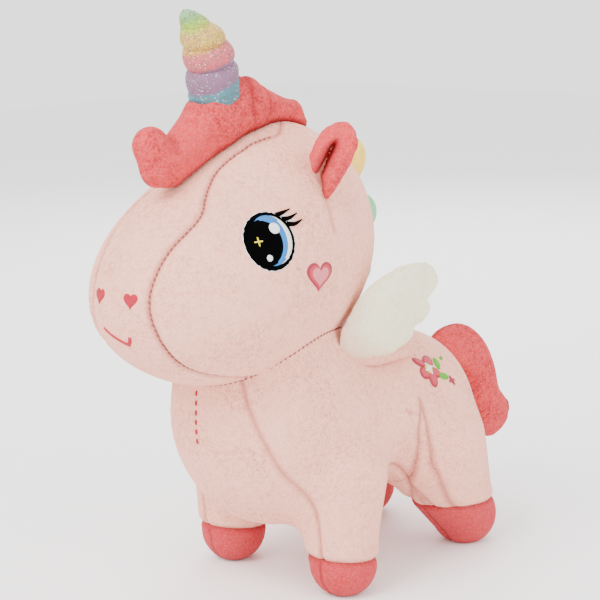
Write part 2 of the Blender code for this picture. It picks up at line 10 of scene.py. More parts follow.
import bpy
import numpy as np
from bpy.props import FloatProperty, FloatVectorProperty, IntProperty, PointerProperty
from mathutils import Matrix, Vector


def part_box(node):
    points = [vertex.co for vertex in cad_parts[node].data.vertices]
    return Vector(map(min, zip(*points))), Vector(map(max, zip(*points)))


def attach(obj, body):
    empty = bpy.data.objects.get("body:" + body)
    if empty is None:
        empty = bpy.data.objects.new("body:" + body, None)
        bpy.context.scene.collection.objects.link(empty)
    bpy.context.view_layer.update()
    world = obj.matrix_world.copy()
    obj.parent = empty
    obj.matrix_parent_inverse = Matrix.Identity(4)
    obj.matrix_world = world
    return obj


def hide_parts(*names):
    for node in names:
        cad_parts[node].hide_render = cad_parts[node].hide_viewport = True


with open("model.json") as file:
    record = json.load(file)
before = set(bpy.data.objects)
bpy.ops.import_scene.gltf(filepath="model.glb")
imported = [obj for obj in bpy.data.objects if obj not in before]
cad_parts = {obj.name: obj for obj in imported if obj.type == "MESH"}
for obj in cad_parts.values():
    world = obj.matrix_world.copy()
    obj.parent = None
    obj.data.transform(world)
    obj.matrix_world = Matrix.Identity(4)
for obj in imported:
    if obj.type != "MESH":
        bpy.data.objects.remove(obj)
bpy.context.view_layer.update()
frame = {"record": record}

bl_info = {
    "name": "Plush Unicorn",
    "version": (1, 0, 0),
    "blender": (4, 5, 0),
    "location": "View3D > Sidebar > Plush",
    "description": "Builds the cloth, pads, horn and embroidery of a plush unicorn around its frame",
    "category": "Add Mesh",
}

MM = 0.001
SIDES = ((1, "left"), (-1, "right"))


# ---------------------------------------------------------------- places taken from the frame

def middle(node):
    """Centre of a node's box, in millimetres."""
    low, high = np.array(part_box(node)) / MM
    return (low + high) / 2.0


def joint_place(name):
    """Pivot of a joint, in millimetres."""
    found = next(j for j in frame["record"]["behaviour"]["joints"] if j["name"] == name)
    return np.array(found["pos_m"]) / MM


# ---------------------------------------------------------------- forms: distance from a soft shape

HEAD_BALLS = [((0, -48, 192), (50, 62, 64)), ((0, -110, 172), (50, 50, 43))]
TRUNK_BALLS = [
    ((0, 6, 87), (56, 67, 42)),
    ((0, -55, 88), (50, 46, 54)),
    ((0, 56, 75), (48, 34, 45)),
]
NECK_ROD = ((0, -55, 105), (0, -67, 165), 48, 41)
FRONT_LEG = ((40, -42, 62), (43.5, -43.5, 16.5), 26, 18.5)
REAR_LEG = ((40, 38, 62), (40, 65, 17), 31, 19.5)
LOCK_SLIM = 1.28                # how much narrower than its rods the forelock is
LOCK_RODS = [
    ((0, -127.5, 239), (0, -131, 251), 9.5, 11.5),
    ((0, -127, 238.5), (0, -88, 262), 9.5, 16),
    ((0, -88, 263), (0, -67, 267.5), 16, 15),
    ((0, -67, 267.5), (0, -30, 259.5), 15, 7.5),
    ((0, -30, 259.5), (0, -21, 253), 7.5, 4.5),
]


def ball(p, centre, radii):
    """About the distance from points to an ellipsoid: scaled radius times itself less one, over its slope."""
    q = (p - np.array(centre)) / np.array(radii)
    reach = np.linalg.norm(q, axis=-1)
    slope = np.linalg.norm(q / np.array(radii), axis=-1)
    return reach * (reach - 1.0) / np.maximum(slope, 1e-9)


def rod(p, start, end, radius_start, radius_end):
    """Distance from points to a round rod whose radius runs evenly from one end to the other."""
    a = np.array(start, float)
    along = np.array(end, float) - a
    t = np.clip(((p - a) @ along) / (along @ along), 0.0, 1.0)
    nearest = a + t[..., None] * along
    return np.linalg.norm(p - nearest, axis=-1) - (radius_start + t * (radius_end - radius_start))


def soft_union(a, b, width):
    """The smaller of two distances, less a parabola where they are closer than width."""
    h = np.maximum(width - np.abs(a - b), 0.0) / width
    return np.minimum(a, b) - h * h * width / 4.0


def head_form(p):
    return soft_union(ball(p, *HEAD_BALLS[0]), ball(p, *HEAD_BALLS[1]), 58.0)


def trunk_form(p):
    d = ball(p, *TRUNK_BALLS[0])
    for part in TRUNK_BALLS[1:]:
        d = soft_union(d, ball(p, *part), 25.0)
    d = soft_union(d, rod(p, *NECK_ROD), 25.0)
    side = p * [0, 1, 1] + np.abs(p) * [1, 0, 0]
    for leg in (FRONT_LEG, REAR_LEG):
        d = soft_union(d, rod(side, *leg), 14.0)
    return d


def lock_form(p):
    p = p * [LOCK_SLIM, 1, 1]
    d = rod(p, *LOCK_RODS[0])
    for part in LOCK_RODS[1:]:
        d = soft_union(d, rod(p, *part), 5.0)
    return d


def slope_of(form, p, step=0.05):
    """Unit direction in which a form grows fastest, from central differences."""
    grad = np.stack([form(p + step * e) - form(p - step * e) for e in np.eye(3)], -1)
    return grad / np.maximum(np.linalg.norm(grad, axis=-1, keepdims=True), 1e-9)


def pull_to(form, p, offset, rounds=5):
    """Move points along the slope until they lie at an offset from the form (Newton steps)."""
    for _ in range(rounds):
        p = p - slope_of(form, p) * (form(p) - offset)[..., None]
    return p


def lay_on(form, p, gap):
    """Points closer to a form than a gap are moved out to the gap; the others stay."""
    near = form(p) < gap
    moved = p.copy()
    moved[near] = pull_to(form, p[near], gap)
    return moved


def bell(distance, width):
    """One on the line, falling off as exp of minus the squared distance over the squared width."""
    return np.exp(-(distance / width) ** 2)


# ---------------------------------------------------------------- seams as fields over the forms

FAN_CENTRE = (0.0, 95.0)
SEAM_X = 45.0
UNDER_SEAM = [
    (-172, -4), (-168, 4), (-160, 20), (-150, 46), (-114, 50), (-106, SEAM_X), (-80, SEAM_X), (-31, 46),
    (-21, 43), (-2, 38), (11, 29), (18, 25), (46, 21), (60, -4),
]
BELLY_SEAM = [(-172, -4), (-166, 2), (-150, 8), (-135, 14), (-118, 22), (-106, SEAM_X), (0, SEAM_X), (20, -4)]
CHEST_END = -80
DART_FRONT = [(20, 12), (40, 10), (48, 9), (62, 7.5), (84, 7), (99, 11)]
DART_BACK = [(20, 46), (36, 30), (50, 19), (62, 13.5), (84, 13), (99, 11)]
HEAD_FAN = (-85.0, 188.0)
FACE_SEAM = [
    (-112, -4), (-106, 20), (-92, 28), (-72, 30), (-56, 29), (-40, 25), (-24, 24), (-8, 21), (12, 23),
    (28, 26), (40, 26), (56, 19), (72, 14), (88, 14), (104, 17), (116, 20), (124, -4),
]
CROWN_LEVEL = 225.0             # height above which the face seam fades
CROWN_FADE = -76.0              # y by which it has faded out
EAR_DART = ((47, -53, 219), (52, -53, 203))


def smooth_table(table, angle):
    """A table read as the mean of five straight-line readings a few degrees apart, so corners are soft."""
    steps = (-5.0, -2.5, 0.0, 2.5, 5.0)
    return sum(np.interp(angle + step, *zip(*table)) for step in steps) / len(steps)


def past_seam(p, seam, centre):
    """How far sideways points lie past a seam whose half width depends on the angle round a centre."""
    angle = np.degrees(np.arctan2(p[..., 2] - centre[1], centre[0] - p[..., 1]))
    return np.abs(p[..., 0]) - smooth_table(seam, angle)


def face(p):
    return past_seam(p, FACE_SEAM, HEAD_FAN)


def under(p):
    return past_seam(p, UNDER_SEAM, FAN_CENTRE)


def belly(p):
    return past_seam(p, BELLY_SEAM, FAN_CENTRE)


def behind_chest(p):
    a = math.radians(CHEST_END)
    return -(p[..., 1] - FAN_CENTRE[0]) * math.sin(a) - (p[..., 2] - FAN_CENTRE[1]) * math.cos(a)


def thigh_dart(p):
    """Wedge up the thigh: negative between its two edges and outside the leg seam."""
    front = np.interp(p[..., 2], *zip(*DART_FRONT)) - p[..., 1]
    back = p[..., 1] - np.interp(p[..., 2], *zip(*DART_BACK))
    return np.maximum.reduce([front, back, SEAM_X - np.abs(p[..., 0]), p[..., 2] - 99])


def under_or_dart(p):
    return np.minimum(under(p), thigh_dart(p))


def hoof_top(p):
    """Height above the seam of a hoof cover: higher at the front of the hind legs."""
    hind = p[..., 1] > 8
    line = np.where(hind, 27.5 - 0.06 * (p[..., 1] - 65), 21.0 - 0.12 * (p[..., 1] + 43))
    return p[..., 2] - line


def hoof_middle(p):
    return np.abs(p[..., 0]) - np.where(p[..., 1] > 8, REAR_LEG[1][0], FRONT_LEG[1][0])


def seam_distance(field, p, step=0.4):
    """Distance to the line where a field is zero: its value over its slope."""
    grad = np.stack([field(p + step * e) - field(p - step * e) for e in np.eye(3)], -1) / (2 * step)
    return np.abs(field(p)) / np.maximum(np.linalg.norm(grad, axis=-1), 0.4)


def ripple(p, pitch):
    """Even waves along a seam, from two sines of mixed directions, between -1 and 1."""
    k = 2 * math.pi / pitch
    y, z = p[..., 1], p[..., 2]
    return 0.5 * (np.sin(k * (0.9 * z + 0.5 * y)) + np.sin(k * (0.8 * y - 0.6 * z + 1.7)))


def head_seams(p):
    """Nearness to the face seam and the ear dart, one on the line."""
    dart = rod(p * [0, 1, 1] + np.abs(p) * [1, 0, 0], *EAR_DART, 0.0, 0.0)
    return bell(seam_distance(face, p), 1.5), bell(dart, 1.6)


def head_relief(p):
    """Height of the cloth over the head form: grooves at the seams that fade out over the crown,
    a puffed shoulder beside the face seam, soft lumps."""
    line, dart = head_seams(p)
    shown = np.where(p[..., 2] > CROWN_LEVEL, np.clip((CROWN_FADE - p[..., 1]) / 8, 0, 1), 1.0)
    line = line * shown
    shoulder = bell(np.abs(seam_distance(face, p) - 5.5), 4.0) * (face(p) > 0) * shown
    puckers = 0.22 * ripple(p, 6.5) * bell(seam_distance(face, p) - 3.0, 3.0)
    lumps = 0.5 * np.sin(p[..., 1] / 13 + 1) * np.sin(p[..., 2] / 11) * np.cos(p[..., 0] / 17)
    return -1.9 * line - 1.3 * dart + 0.75 * shoulder + puckers + lumps


def trunk_lines(p):
    """Nearness to the trunk's long seams, to the thigh dart and to the seams of the hooves."""
    low = hoof_top(p) < 0
    long_seam = np.where(low, 0, bell(seam_distance(under, p), 1.4))
    belly_seam = np.where((behind_chest(p) > 0) & ~low, bell(seam_distance(belly, p), 1.4), 0)
    chest_end = np.where(under(p) < 0, bell(behind_chest(p), 1.4), 0)
    dart = np.where(low, 0, bell(seam_distance(thigh_dart, p), 1.5))
    cuff = bell(seam_distance(hoof_top, p), 1.5)
    sole = np.where(low, bell(hoof_middle(p), 1.2), 0)
    return np.maximum.reduce([long_seam, belly_seam, chest_end]), dart, cuff, sole


def trunk_relief(p):
    """Height of the cloth over the trunk form: seam grooves, puckers by the dart, fat cuffs, soft lumps."""
    seams, dart, cuff, sole = trunk_lines(p)
    beside = bell(seam_distance(thigh_dart, p) - 3.0, 3.5) * (np.abs(p[..., 0]) > 40)
    puckers = 0.14 * ripple(p, 8.0) * beside + 0.12 * ripple(p, 7.0) * bell(seam_distance(under, p) - 3, 3.0)
    lumps = 0.6 * np.sin(p[..., 1] / 15) * np.sin(p[..., 2] / 12 + 2) * np.cos(p[..., 0] / 19)
    above = np.where(hoof_top(p) > 0, bell(seam_distance(hoof_top, p) - 5, 4.0), 0)
    return -1.4 * seams - 0.45 * dart - 1.5 * cuff - 0.8 * sole + puckers + lumps + 0.5 * above


# ---------------------------------------------------------------- meshes

def coordinates(mesh):
    flat = np.empty(len(mesh.vertices) * 3, np.float32)
    mesh.vertices.foreach_get("co", flat)
    return flat.astype(float).reshape(-1, 3) / MM


def place_points(mesh, points):
    mesh.vertices.foreach_set("co", (points * MM).astype(np.float32).ravel())
    mesh.update()


def add_piece(name, points, faces, finish=None, uv=None, masks=None):
    """Mesh object from points in millimetres and arrays of faces; masks are named values at its points."""
    mesh = bpy.data.meshes.new(name)
    points = np.asarray(points, float).reshape(-1, 3)
    faces = outward(points, faces)
    mesh.vertices.add(len(points))
    corners = np.concatenate([np.asarray(f).ravel() for f in faces]).astype(np.int32)
    sizes = np.concatenate([np.full(len(f), np.asarray(f).shape[1]) for f in faces]).astype(np.int32)
    mesh.loops.add(len(corners))
    mesh.polygons.add(len(sizes))
    mesh.loops.foreach_set("vertex_index", corners)
    mesh.polygons.foreach_set("loop_start", np.concatenate([[0], np.cumsum(sizes)[:-1]]).astype(np.int32))
    place_points(mesh, points)
    mesh.update(calc_edges=True)
    if uv is not None:
        layer = mesh.uv_layers.new(name="UVMap")
        layer.data.foreach_set("uv", np.asarray(uv, np.float32).reshape(-1, 2)[corners].ravel())
    for word, values in (masks or {}).items():
        mesh.attributes.new(word, "FLOAT", "POINT").data.foreach_set("value", values.astype(np.float32))
    mesh.shade_smooth()
    made = bpy.data.objects.new(name, mesh)
    bpy.context.scene.collection.objects.link(made)
    if finish:
        mesh.materials.append(finish)
    return made


def outward(points, faces):
    """Faces turned round if the volume they enclose, summed over corner triples, is negative."""
    volume = 0.0
    for some in faces:
        some = np.asarray(some)
        for k in range(1, some.shape[1] - 1):
            a, b, c = points[some[:, 0]], points[some[:, k]], points[some[:, k + 1]]
            volume += (a * np.cross(b, c)).sum()
    return faces if volume >= 0 else [np.asarray(some)[:, ::-1] for some in faces]


def set_mask(mesh, word, values):
    layer = mesh.attributes.get(word) or mesh.attributes.new(word, "FLOAT", "POINT")
    layer.data.foreach_set("value", values.astype(np.float32))


def apply_modifiers(item):
    graph = bpy.context.evaluated_depsgraph_get()
    result = bpy.data.meshes.new_from_object(item.evaluated_get(graph))
    item.modifiers.clear()
    item.data = result


def remesh(item, cell):
    step = item.modifiers.new("Remesh", "REMESH")
    step.mode = "VOXEL"
    step.voxel_size = cell * MM
    step.use_smooth_shade = True
    apply_modifiers(item)


def soften(item, rounds):
    step = item.modifiers.new("Smooth", "SMOOTH")
    step.factor = 0.5
    step.iterations = rounds
    apply_modifiers(item)


def subdivide(item, levels):
    step = item.modifiers.new("Subdivision", "SUBSURF")
    step.levels = step.render_levels = levels
    apply_modifiers(item)


def triangles(mesh):
    mesh.calc_loop_triangles()
    flat = np.empty(len(mesh.loop_triangles) * 3, np.int32)
    mesh.loop_triangles.foreach_get("vertices", flat)
    return flat.reshape(-1, 3)


def grid_quads(rows, columns, wrap=True):
    """Quads of a grid of points in row order; with wrap the last column joins the first."""
    r, c = np.meshgrid(np.arange(rows - 1), np.arange(columns if wrap else columns - 1), indexing="ij")
    k = (c + 1) % columns
    corners = [r * columns + c, r * columns + k, (r + 1) * columns + k, (r + 1) * columns + c]
    return np.stack(corners, -1).reshape(-1, 4)


def capped_grid(grid):
    """Points and faces of a tube of rings, closed by a point at each end."""
    rows, columns = grid.shape[:2]
    points = np.concatenate([grid.reshape(-1, 3), grid[:1].mean(1), grid[-1:].mean(1)])
    j = np.arange(columns)
    k = (j + 1) % columns
    first = np.stack([np.full(columns, rows * columns), k, j], -1)
    base = (rows - 1) * columns
    last = np.stack([np.full(columns, rows * columns + 1), base + j, base + k], -1)
    return points, [grid_quads(rows, columns), first, last]


def ball_grid(centre, radii, rows=24, columns=32):
    """Ellipsoid: radii times the sines and cosines of a height angle and a turn."""
    a = np.linspace(-1.45, 1.45, rows)[:, None]
    t = np.arange(columns)[None] * 2 * math.pi / columns
    unit = np.stack([np.cos(a) * np.cos(t), np.cos(a) * np.sin(t), np.sin(a) + 0 * t], -1)
    return np.array(centre) + np.array(radii) * unit


def joined(parts):
    points, faces, start = [], [], 0
    for some, lists in parts:
        points.append(some)
        faces += [np.asarray(f) + start for f in lists]
        start += len(some)
    return np.concatenate(points), faces


def rod_seeds(rods):
    """Balls in a row along each rod, as rough closed shapes for a remesh."""
    seeds = []
    for a, b, ra, rb in rods:
        for t in np.linspace(0.0, 1.0, 7):
            radius = ra + t * (rb - ra)
            seeds.append(capped_grid(ball_grid(np.array(a) + t * (np.array(b) - a), [radius] * 3)))
    return seeds


def form_surface(form, balls, rods, cell, floor=None):
    """Points and triangles of a closed skin on a form: seed balls, voxel remesh, pull to the form, twice."""
    item = add_piece("seed", *joined([capped_grid(ball_grid(c, r)) for c, r in balls] + rod_seeds(rods)))
    for size in (3.0, cell):
        remesh(item, size)
        points = pull_to(form, coordinates(item.data), 0.0)
        if floor is not None:
            points[:, 2] = np.maximum(points[:, 2], floor)
        place_points(item.data, points)
    tris = triangles(item.data)
    bpy.data.objects.remove(item, do_unlink=True)
    return points, tris


def trim(points, tris, values):
    """Keep the part of a triangle surface where values are negative; straddling triangles are cut at zero."""
    values = np.where(np.abs(values) < 0.02, -1e-6, values)
    inside = values[tris] < 0
    count = inside.sum(1)
    keep = [tris[count == 3]]
    one, two = tris[count == 1], tris[count == 2]
    one = np.take_along_axis(one, (inside[count == 1].argmax(1)[:, None] + np.arange(3)) % 3, 1)
    two = np.take_along_axis(two, ((~inside[count == 2]).argmax(1)[:, None] + np.arange(3)) % 3, 1)
    pairs = np.concatenate([one[:, [0, 1]], one[:, [0, 2]], two[:, [0, 1]], two[:, [0, 2]]])
    edges, place = np.unique(np.sort(pairs, 1), axis=0, return_inverse=True)
    va, vb = values[edges[:, 0]], values[edges[:, 1]]
    t = (va / (va - vb))[:, None]
    fresh = points[edges[:, 0]] * (1 - t) + points[edges[:, 1]] * t
    ids = place.ravel() + len(points)
    n, m = len(one), len(two)
    ab, ac, ba, ca = ids[:n], ids[n:2 * n], ids[2 * n:2 * n + m], ids[2 * n + m:]
    keep.append(np.stack([one[:, 0], ab, ac], -1))
    keep.append(np.stack([two[:, 1], two[:, 2], ca], -1))
    keep.append(np.stack([two[:, 1], ca, ba], -1))
    tris = np.concatenate(keep)
    used, place = np.unique(tris, return_inverse=True)
    return np.concatenate([points, fresh])[used], place.reshape(-1, 3)


def walled(outer, inner, tris):
    """Closed shell between an outer and an inner copy of an open surface, with a wall round each edge."""
    n = len(outer)
    edges = np.concatenate([tris[:, [0, 1]], tris[:, [1, 2]], tris[:, [2, 0]]])
    key = edges[:, 0].astype(np.int64) * (n + 1) + edges[:, 1]
    back = edges[:, 1].astype(np.int64) * (n + 1) + edges[:, 0]
    rim = edges[~np.isin(key, back)]
    wall = np.stack([rim[:, 1], rim[:, 0], rim[:, 0] + n, rim[:, 1] + n], -1)
    return np.concatenate([outer, inner]), [tris, tris[:, ::-1] + n, wall]


def cloth_panel(name, finish, surface, form, relief, mask, fields, thick=1.4, floor=None):
    """A cut piece of pile fabric: the part of a surface where every field is negative, with its relief."""
    points, tris = surface
    for field in fields:
        points, tris = trim(points, tris, field(points))
    normal = slope_of(form, points)
    shade = mask(points)
    nap = np.random.default_rng(11).normal(0.0, 0.035, len(points))
    outer = points + normal * (relief(points) + nap)[:, None]
    inner = outer - normal * thick
    if floor is not None:
        outer[:, 2] = np.maximum(outer[:, 2], floor)
        inner[:, 2] = np.maximum(inner[:, 2], floor + thick)
    shell, faces = walled(outer, inner, tris)
    # The shade mask goes into the seam attribute, which paints shade into the seam grooves
    return add_piece(name, shell, faces, finish, masks={"seam": np.concatenate([shade, shade])})


def declare(item, body, nodes):
    """Attach a piece to the body it rides on and hide the frame parts it replaces."""
    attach(item, body)
    if nodes:
        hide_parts(*nodes)
    return item


# ---------------------------------------------------------------- cloth simulation for stuffed pads

def swell(items, reach, pressure=4.0):
    """Blow closed pads up as cloth for twenty frames; no point moves further than reach."""
    starts = []
    for item in items:
        starts.append(coordinates(item.data))
        cloth = item.modifiers.new("Cloth", "CLOTH")
        cloth.settings.use_pressure = True
        cloth.settings.uniform_pressure_force = pressure
        cloth.settings.effector_weights.gravity = 0.0
        cloth.settings.quality = 5
        cloth.point_cache.frame_start = 1
        cloth.point_cache.frame_end = 20
    scene = bpy.context.scene
    for step in range(1, 21):
        scene.frame_set(step)
    graph = bpy.context.evaluated_depsgraph_get()
    for item, start in zip(items, starts):
        end = coordinates(item.evaluated_get(graph).data)
        move = end - start
        far = np.linalg.norm(move, axis=1, keepdims=True)
        settled = start + move * np.minimum(1.0, reach / np.maximum(far, 1e-9))
        item.modifiers.clear()
        place_points(item.data, settled)
    scene.frame_set(1)


def smooth_outline(points, count):
    """Closed curve through a few points (Catmull-Rom), as evenly stepped points."""
    p = np.array(points, float)
    n = len(p)
    s = np.arange(count) * n / count
    i = s.astype(int)
    t = (s - i)[:, None]
    a, b, c, d = p[(i - 1) % n], p[i % n], p[(i + 1) % n], p[(i + 2) % n]
    return 0.5 * (2 * b + (c - a) * t + (2 * a - 5 * b + 4 * c - d) * t**2 + (3 * b - a - 3 * c + d) * t**3)


def round_outline(width, height, count=48):
    turn = np.arange(count) * 2 * math.pi / count
    return np.stack([width * np.cos(turn), height * np.sin(turn)], -1)


def pillow_blank(name, outline, centre, front, back, rings=14):
    """Closed lens over an outline: depth is the square root of one less the squared ring, either side."""
    fraction = np.linspace(0.0, 1.0, rings + 1)[1:, None, None]
    flat = np.array(centre) + fraction * (outline[None] - np.array(centre))
    crown = np.maximum(1.0 - fraction[..., 0] ** 2, 0.0) ** 0.42
    top = np.concatenate([flat, (front * crown * np.ones(len(outline)))[..., None]], -1)
    low = np.concatenate([flat, (-back * crown * np.ones(len(outline)))[..., None]], -1)
    grid = np.concatenate([low, top[::-1][1:]])
    return add_piece(name, *capped_grid(grid))


# ---------------------------------------------------------------- finishes

def new_group(name, inputs, outputs):
    group = bpy.data.node_groups.new(name, "ShaderNodeTree")
    for word, kind, default in inputs:
        socket = group.interface.new_socket(word, in_out="INPUT", socket_type=kind)
        socket.default_value = default
    for word, kind in outputs:
        group.interface.new_socket(word, in_out="OUTPUT", socket_type=kind)
    return group, group.nodes.new("NodeGroupInput"), group.nodes.new("NodeGroupOutput")


def join(tree, source, target):
    tree.links.new(source, target)


def maths(tree, operation, a, b):
    node = tree.nodes.new("ShaderNodeMath")
    node.operation = operation
    for socket, value in zip(node.inputs, (a, b)):
        if isinstance(value, (int, float)):
            socket.default_value = value
        else:
            join(tree, value, socket)
    return node.outputs[0]


def mixed(tree, factor, a, b, kind="MIX"):
    node = tree.nodes.new("ShaderNodeMix")
    node.data_type = "RGBA"
    node.blend_type = kind
    for socket, value in zip((node.inputs[0], node.inputs[6], node.inputs[7]), (factor, a, b)):
        if isinstance(value, (int, float)):
            socket.default_value = value
        elif isinstance(value, (tuple, list)):
            socket.default_value = (*value, 1.0)
        else:
            join(tree, value, socket)
    return node.outputs[2]


def noise(tree, vector, scale, detail=2.0):
    node = tree.nodes.new("ShaderNodeTexNoise")
    node.inputs["Detail"].default_value = detail
    if isinstance(scale, (int, float)):
        node.inputs["Scale"].default_value = scale
    else:
        join(tree, scale, node.inputs["Scale"])
    join(tree, vector, node.inputs["Vector"])
    return node.outputs["Fac"]


def ranged(tree, value, low, high, to_low=0.0, to_high=1.0):
    node = tree.nodes.new("ShaderNodeMapRange")
    join(tree, value, node.inputs["Value"])
    for word, number in (("From Min", low), ("From Max", high), ("To Min", to_low), ("To Max", to_high)):
        node.inputs[word].default_value = number
    return node.outputs[0]


def pile_group():
    """Short pile: fine specks, a slow nap change, and painted shade (the Seam colour) where the seam mask is high.
    """
    found = bpy.data.node_groups.get("Short Pile")
    if found:
        return found
    group, given, out = new_group(
        "Short Pile",
        [("Pale", "NodeSocketColor", (1, 1, 1, 1)), ("Deep", "NodeSocketColor", (0.5, 0.5, 0.5, 1)),
         ("Seam", "NodeSocketColor", (0.3, 0.2, 0.2, 1)), ("Speck Scale", "NodeSocketFloat", 900.0),
         ("Speck Depth", "NodeSocketFloat", 0.6), ("Seam Depth", "NodeSocketFloat", 0.6),
         ("Tip", "NodeSocketColor", (1, 1, 1, 1)), ("Fleck", "NodeSocketFloat", 0.3)],
        [("Color", "NodeSocketColor"), ("Height", "NodeSocketFloat")])
    place = group.nodes.new("ShaderNodeTexCoord").outputs["Object"]
    seam = group.nodes.new("ShaderNodeAttribute")
    seam.attribute_name = "seam"
    specks = noise(group, place, given.outputs["Speck Scale"], 2.0)
    tufts = noise(group, place, maths(group, "MULTIPLY", given.outputs["Speck Scale"], 0.37), 2.0)
    nap = noise(group, place, 38.0, 3.0)
    flecks = noise(group, place, maths(group, "MULTIPLY", given.outputs["Speck Scale"], 1.35), 1.0)
    fine = ranged(group, specks, 0.44, 0.60)
    tuft = ranged(group, tufts, 0.42, 0.62)
    slow = ranged(group, nap, 0.36, 0.62)
    both = maths(group, "ADD", maths(group, "MULTIPLY", fine, 0.55), maths(group, "MULTIPLY", tuft, 0.35))
    patchy = maths(group, "ADD", maths(group, "MULTIPLY", slow, 0.7), 0.45)
    amount = maths(group, "MULTIPLY", maths(group, "MULTIPLY", both, patchy), given.outputs["Speck Depth"])
    colour = mixed(group, amount, given.outputs["Pale"], given.outputs["Deep"])
    light = maths(group, "MULTIPLY", ranged(group, flecks, 0.52, 0.64), given.outputs["Fleck"])
    colour = mixed(group, light, colour, given.outputs["Tip"])
    # Painted shade: colour mixed towards the Seam colour where the seam attribute marks grooves, creases and
    # contacts
    edge = maths(group, "MULTIPLY", seam.outputs["Fac"], given.outputs["Seam Depth"])
    colour = mixed(group, edge, colour, given.outputs["Seam"])
    join(group, colour, out.inputs["Color"])
    join(group, maths(group, "ADD", specks, maths(group, "MULTIPLY", tufts, 0.8)), out.inputs["Height"])
    return group


def finish_shell(name):
    made = bpy.data.materials.new(name)
    made.use_nodes = True
    tree = made.node_tree
    return made, tree, tree.nodes["Principled BSDF"]


def add_bump(tree, shader, height, strength, distance):
    bump = tree.nodes.new("ShaderNodeBump")
    bump.inputs["Strength"].default_value = strength
    bump.inputs["Distance"].default_value = distance * MM
    join(tree, height, bump.inputs["Height"])
    join(tree, bump.outputs["Normal"], shader.inputs["Normal"])


def pile_finish(name, pale, deep, seam, speck=850.0, depth=0.8, seam_depth=0.6, sheen=0.06, bump=0.7,
                fleck=0.3):
    found = bpy.data.materials.get(name)
    if found:
        return found
    made, tree, shader = finish_shell(name)
    node = tree.nodes.new("ShaderNodeGroup")
    node.node_tree = pile_group()
    tip = tuple(0.7 * c + 0.24 for c in pale)
    node.inputs["Fleck"].default_value = fleck
    for word, colour in (("Pale", pale), ("Deep", deep), ("Seam", seam), ("Tip", tip)):
        node.inputs[word].default_value = (*colour, 1.0)
    node.inputs["Speck Scale"].default_value = speck
    node.inputs["Speck Depth"].default_value = depth
    node.inputs["Seam Depth"].default_value = seam_depth
    join(tree, node.outputs["Color"], shader.inputs["Base Color"])
    add_bump(tree, shader, node.outputs["Height"], bump, 0.6)
    shader.inputs["Roughness"].default_value = 1.0
    shader.inputs["Specular IOR Level"].default_value = 0.05
    shader.inputs["Sheen Weight"].default_value = sheen
    shader.inputs["Sheen Roughness"].default_value = 0.45
    return made


def thread_finish(name, colour, shine=0.45):
    """Satin stitch: fine parallel threads that follow the piece's own map."""
    found = bpy.data.materials.get(name)
    if found:
        return found
    made, tree, shader = finish_shell(name)
    place = tree.nodes.new("ShaderNodeTexCoord").outputs["UV"]
    wave = tree.nodes.new("ShaderNodeTexWave")
    wave.bands_direction = "Y"
    wave.inputs["Scale"].default_value = 6.5
    wave.inputs["Distortion"].default_value = 1.2
    wave.inputs["Detail Scale"].default_value = 2.0
    join(tree, place, wave.inputs["Vector"])
    grain = noise(tree, place, 22.0, 3.0)
    is_dark = max(colour) <= 0.05
    dark = tuple(c * 0.55 for c in colour)
    light = tuple(min(1.0, c * 1.3 + (0.0 if is_dark else 0.03)) for c in colour)
    shader.inputs["Specular IOR Level"].default_value = 0.012 if is_dark else 0.12
    tone = mixed(tree, ranged(tree, wave.outputs["Fac"], 0.0, 0.7, 0.75, 0.0), colour, dark)
    tone = mixed(tree, ranged(tree, grain, 0.45, 0.7, 0.0, 0.35), tone, light)
    join(tree, tone, shader.inputs["Base Color"])
    join(tree, ranged(tree, grain, 0.3, 0.7, shine, shine + 0.25), shader.inputs["Roughness"])
    add_bump(tree, shader, wave.outputs["Fac"], 0.7, 0.25)
    return made


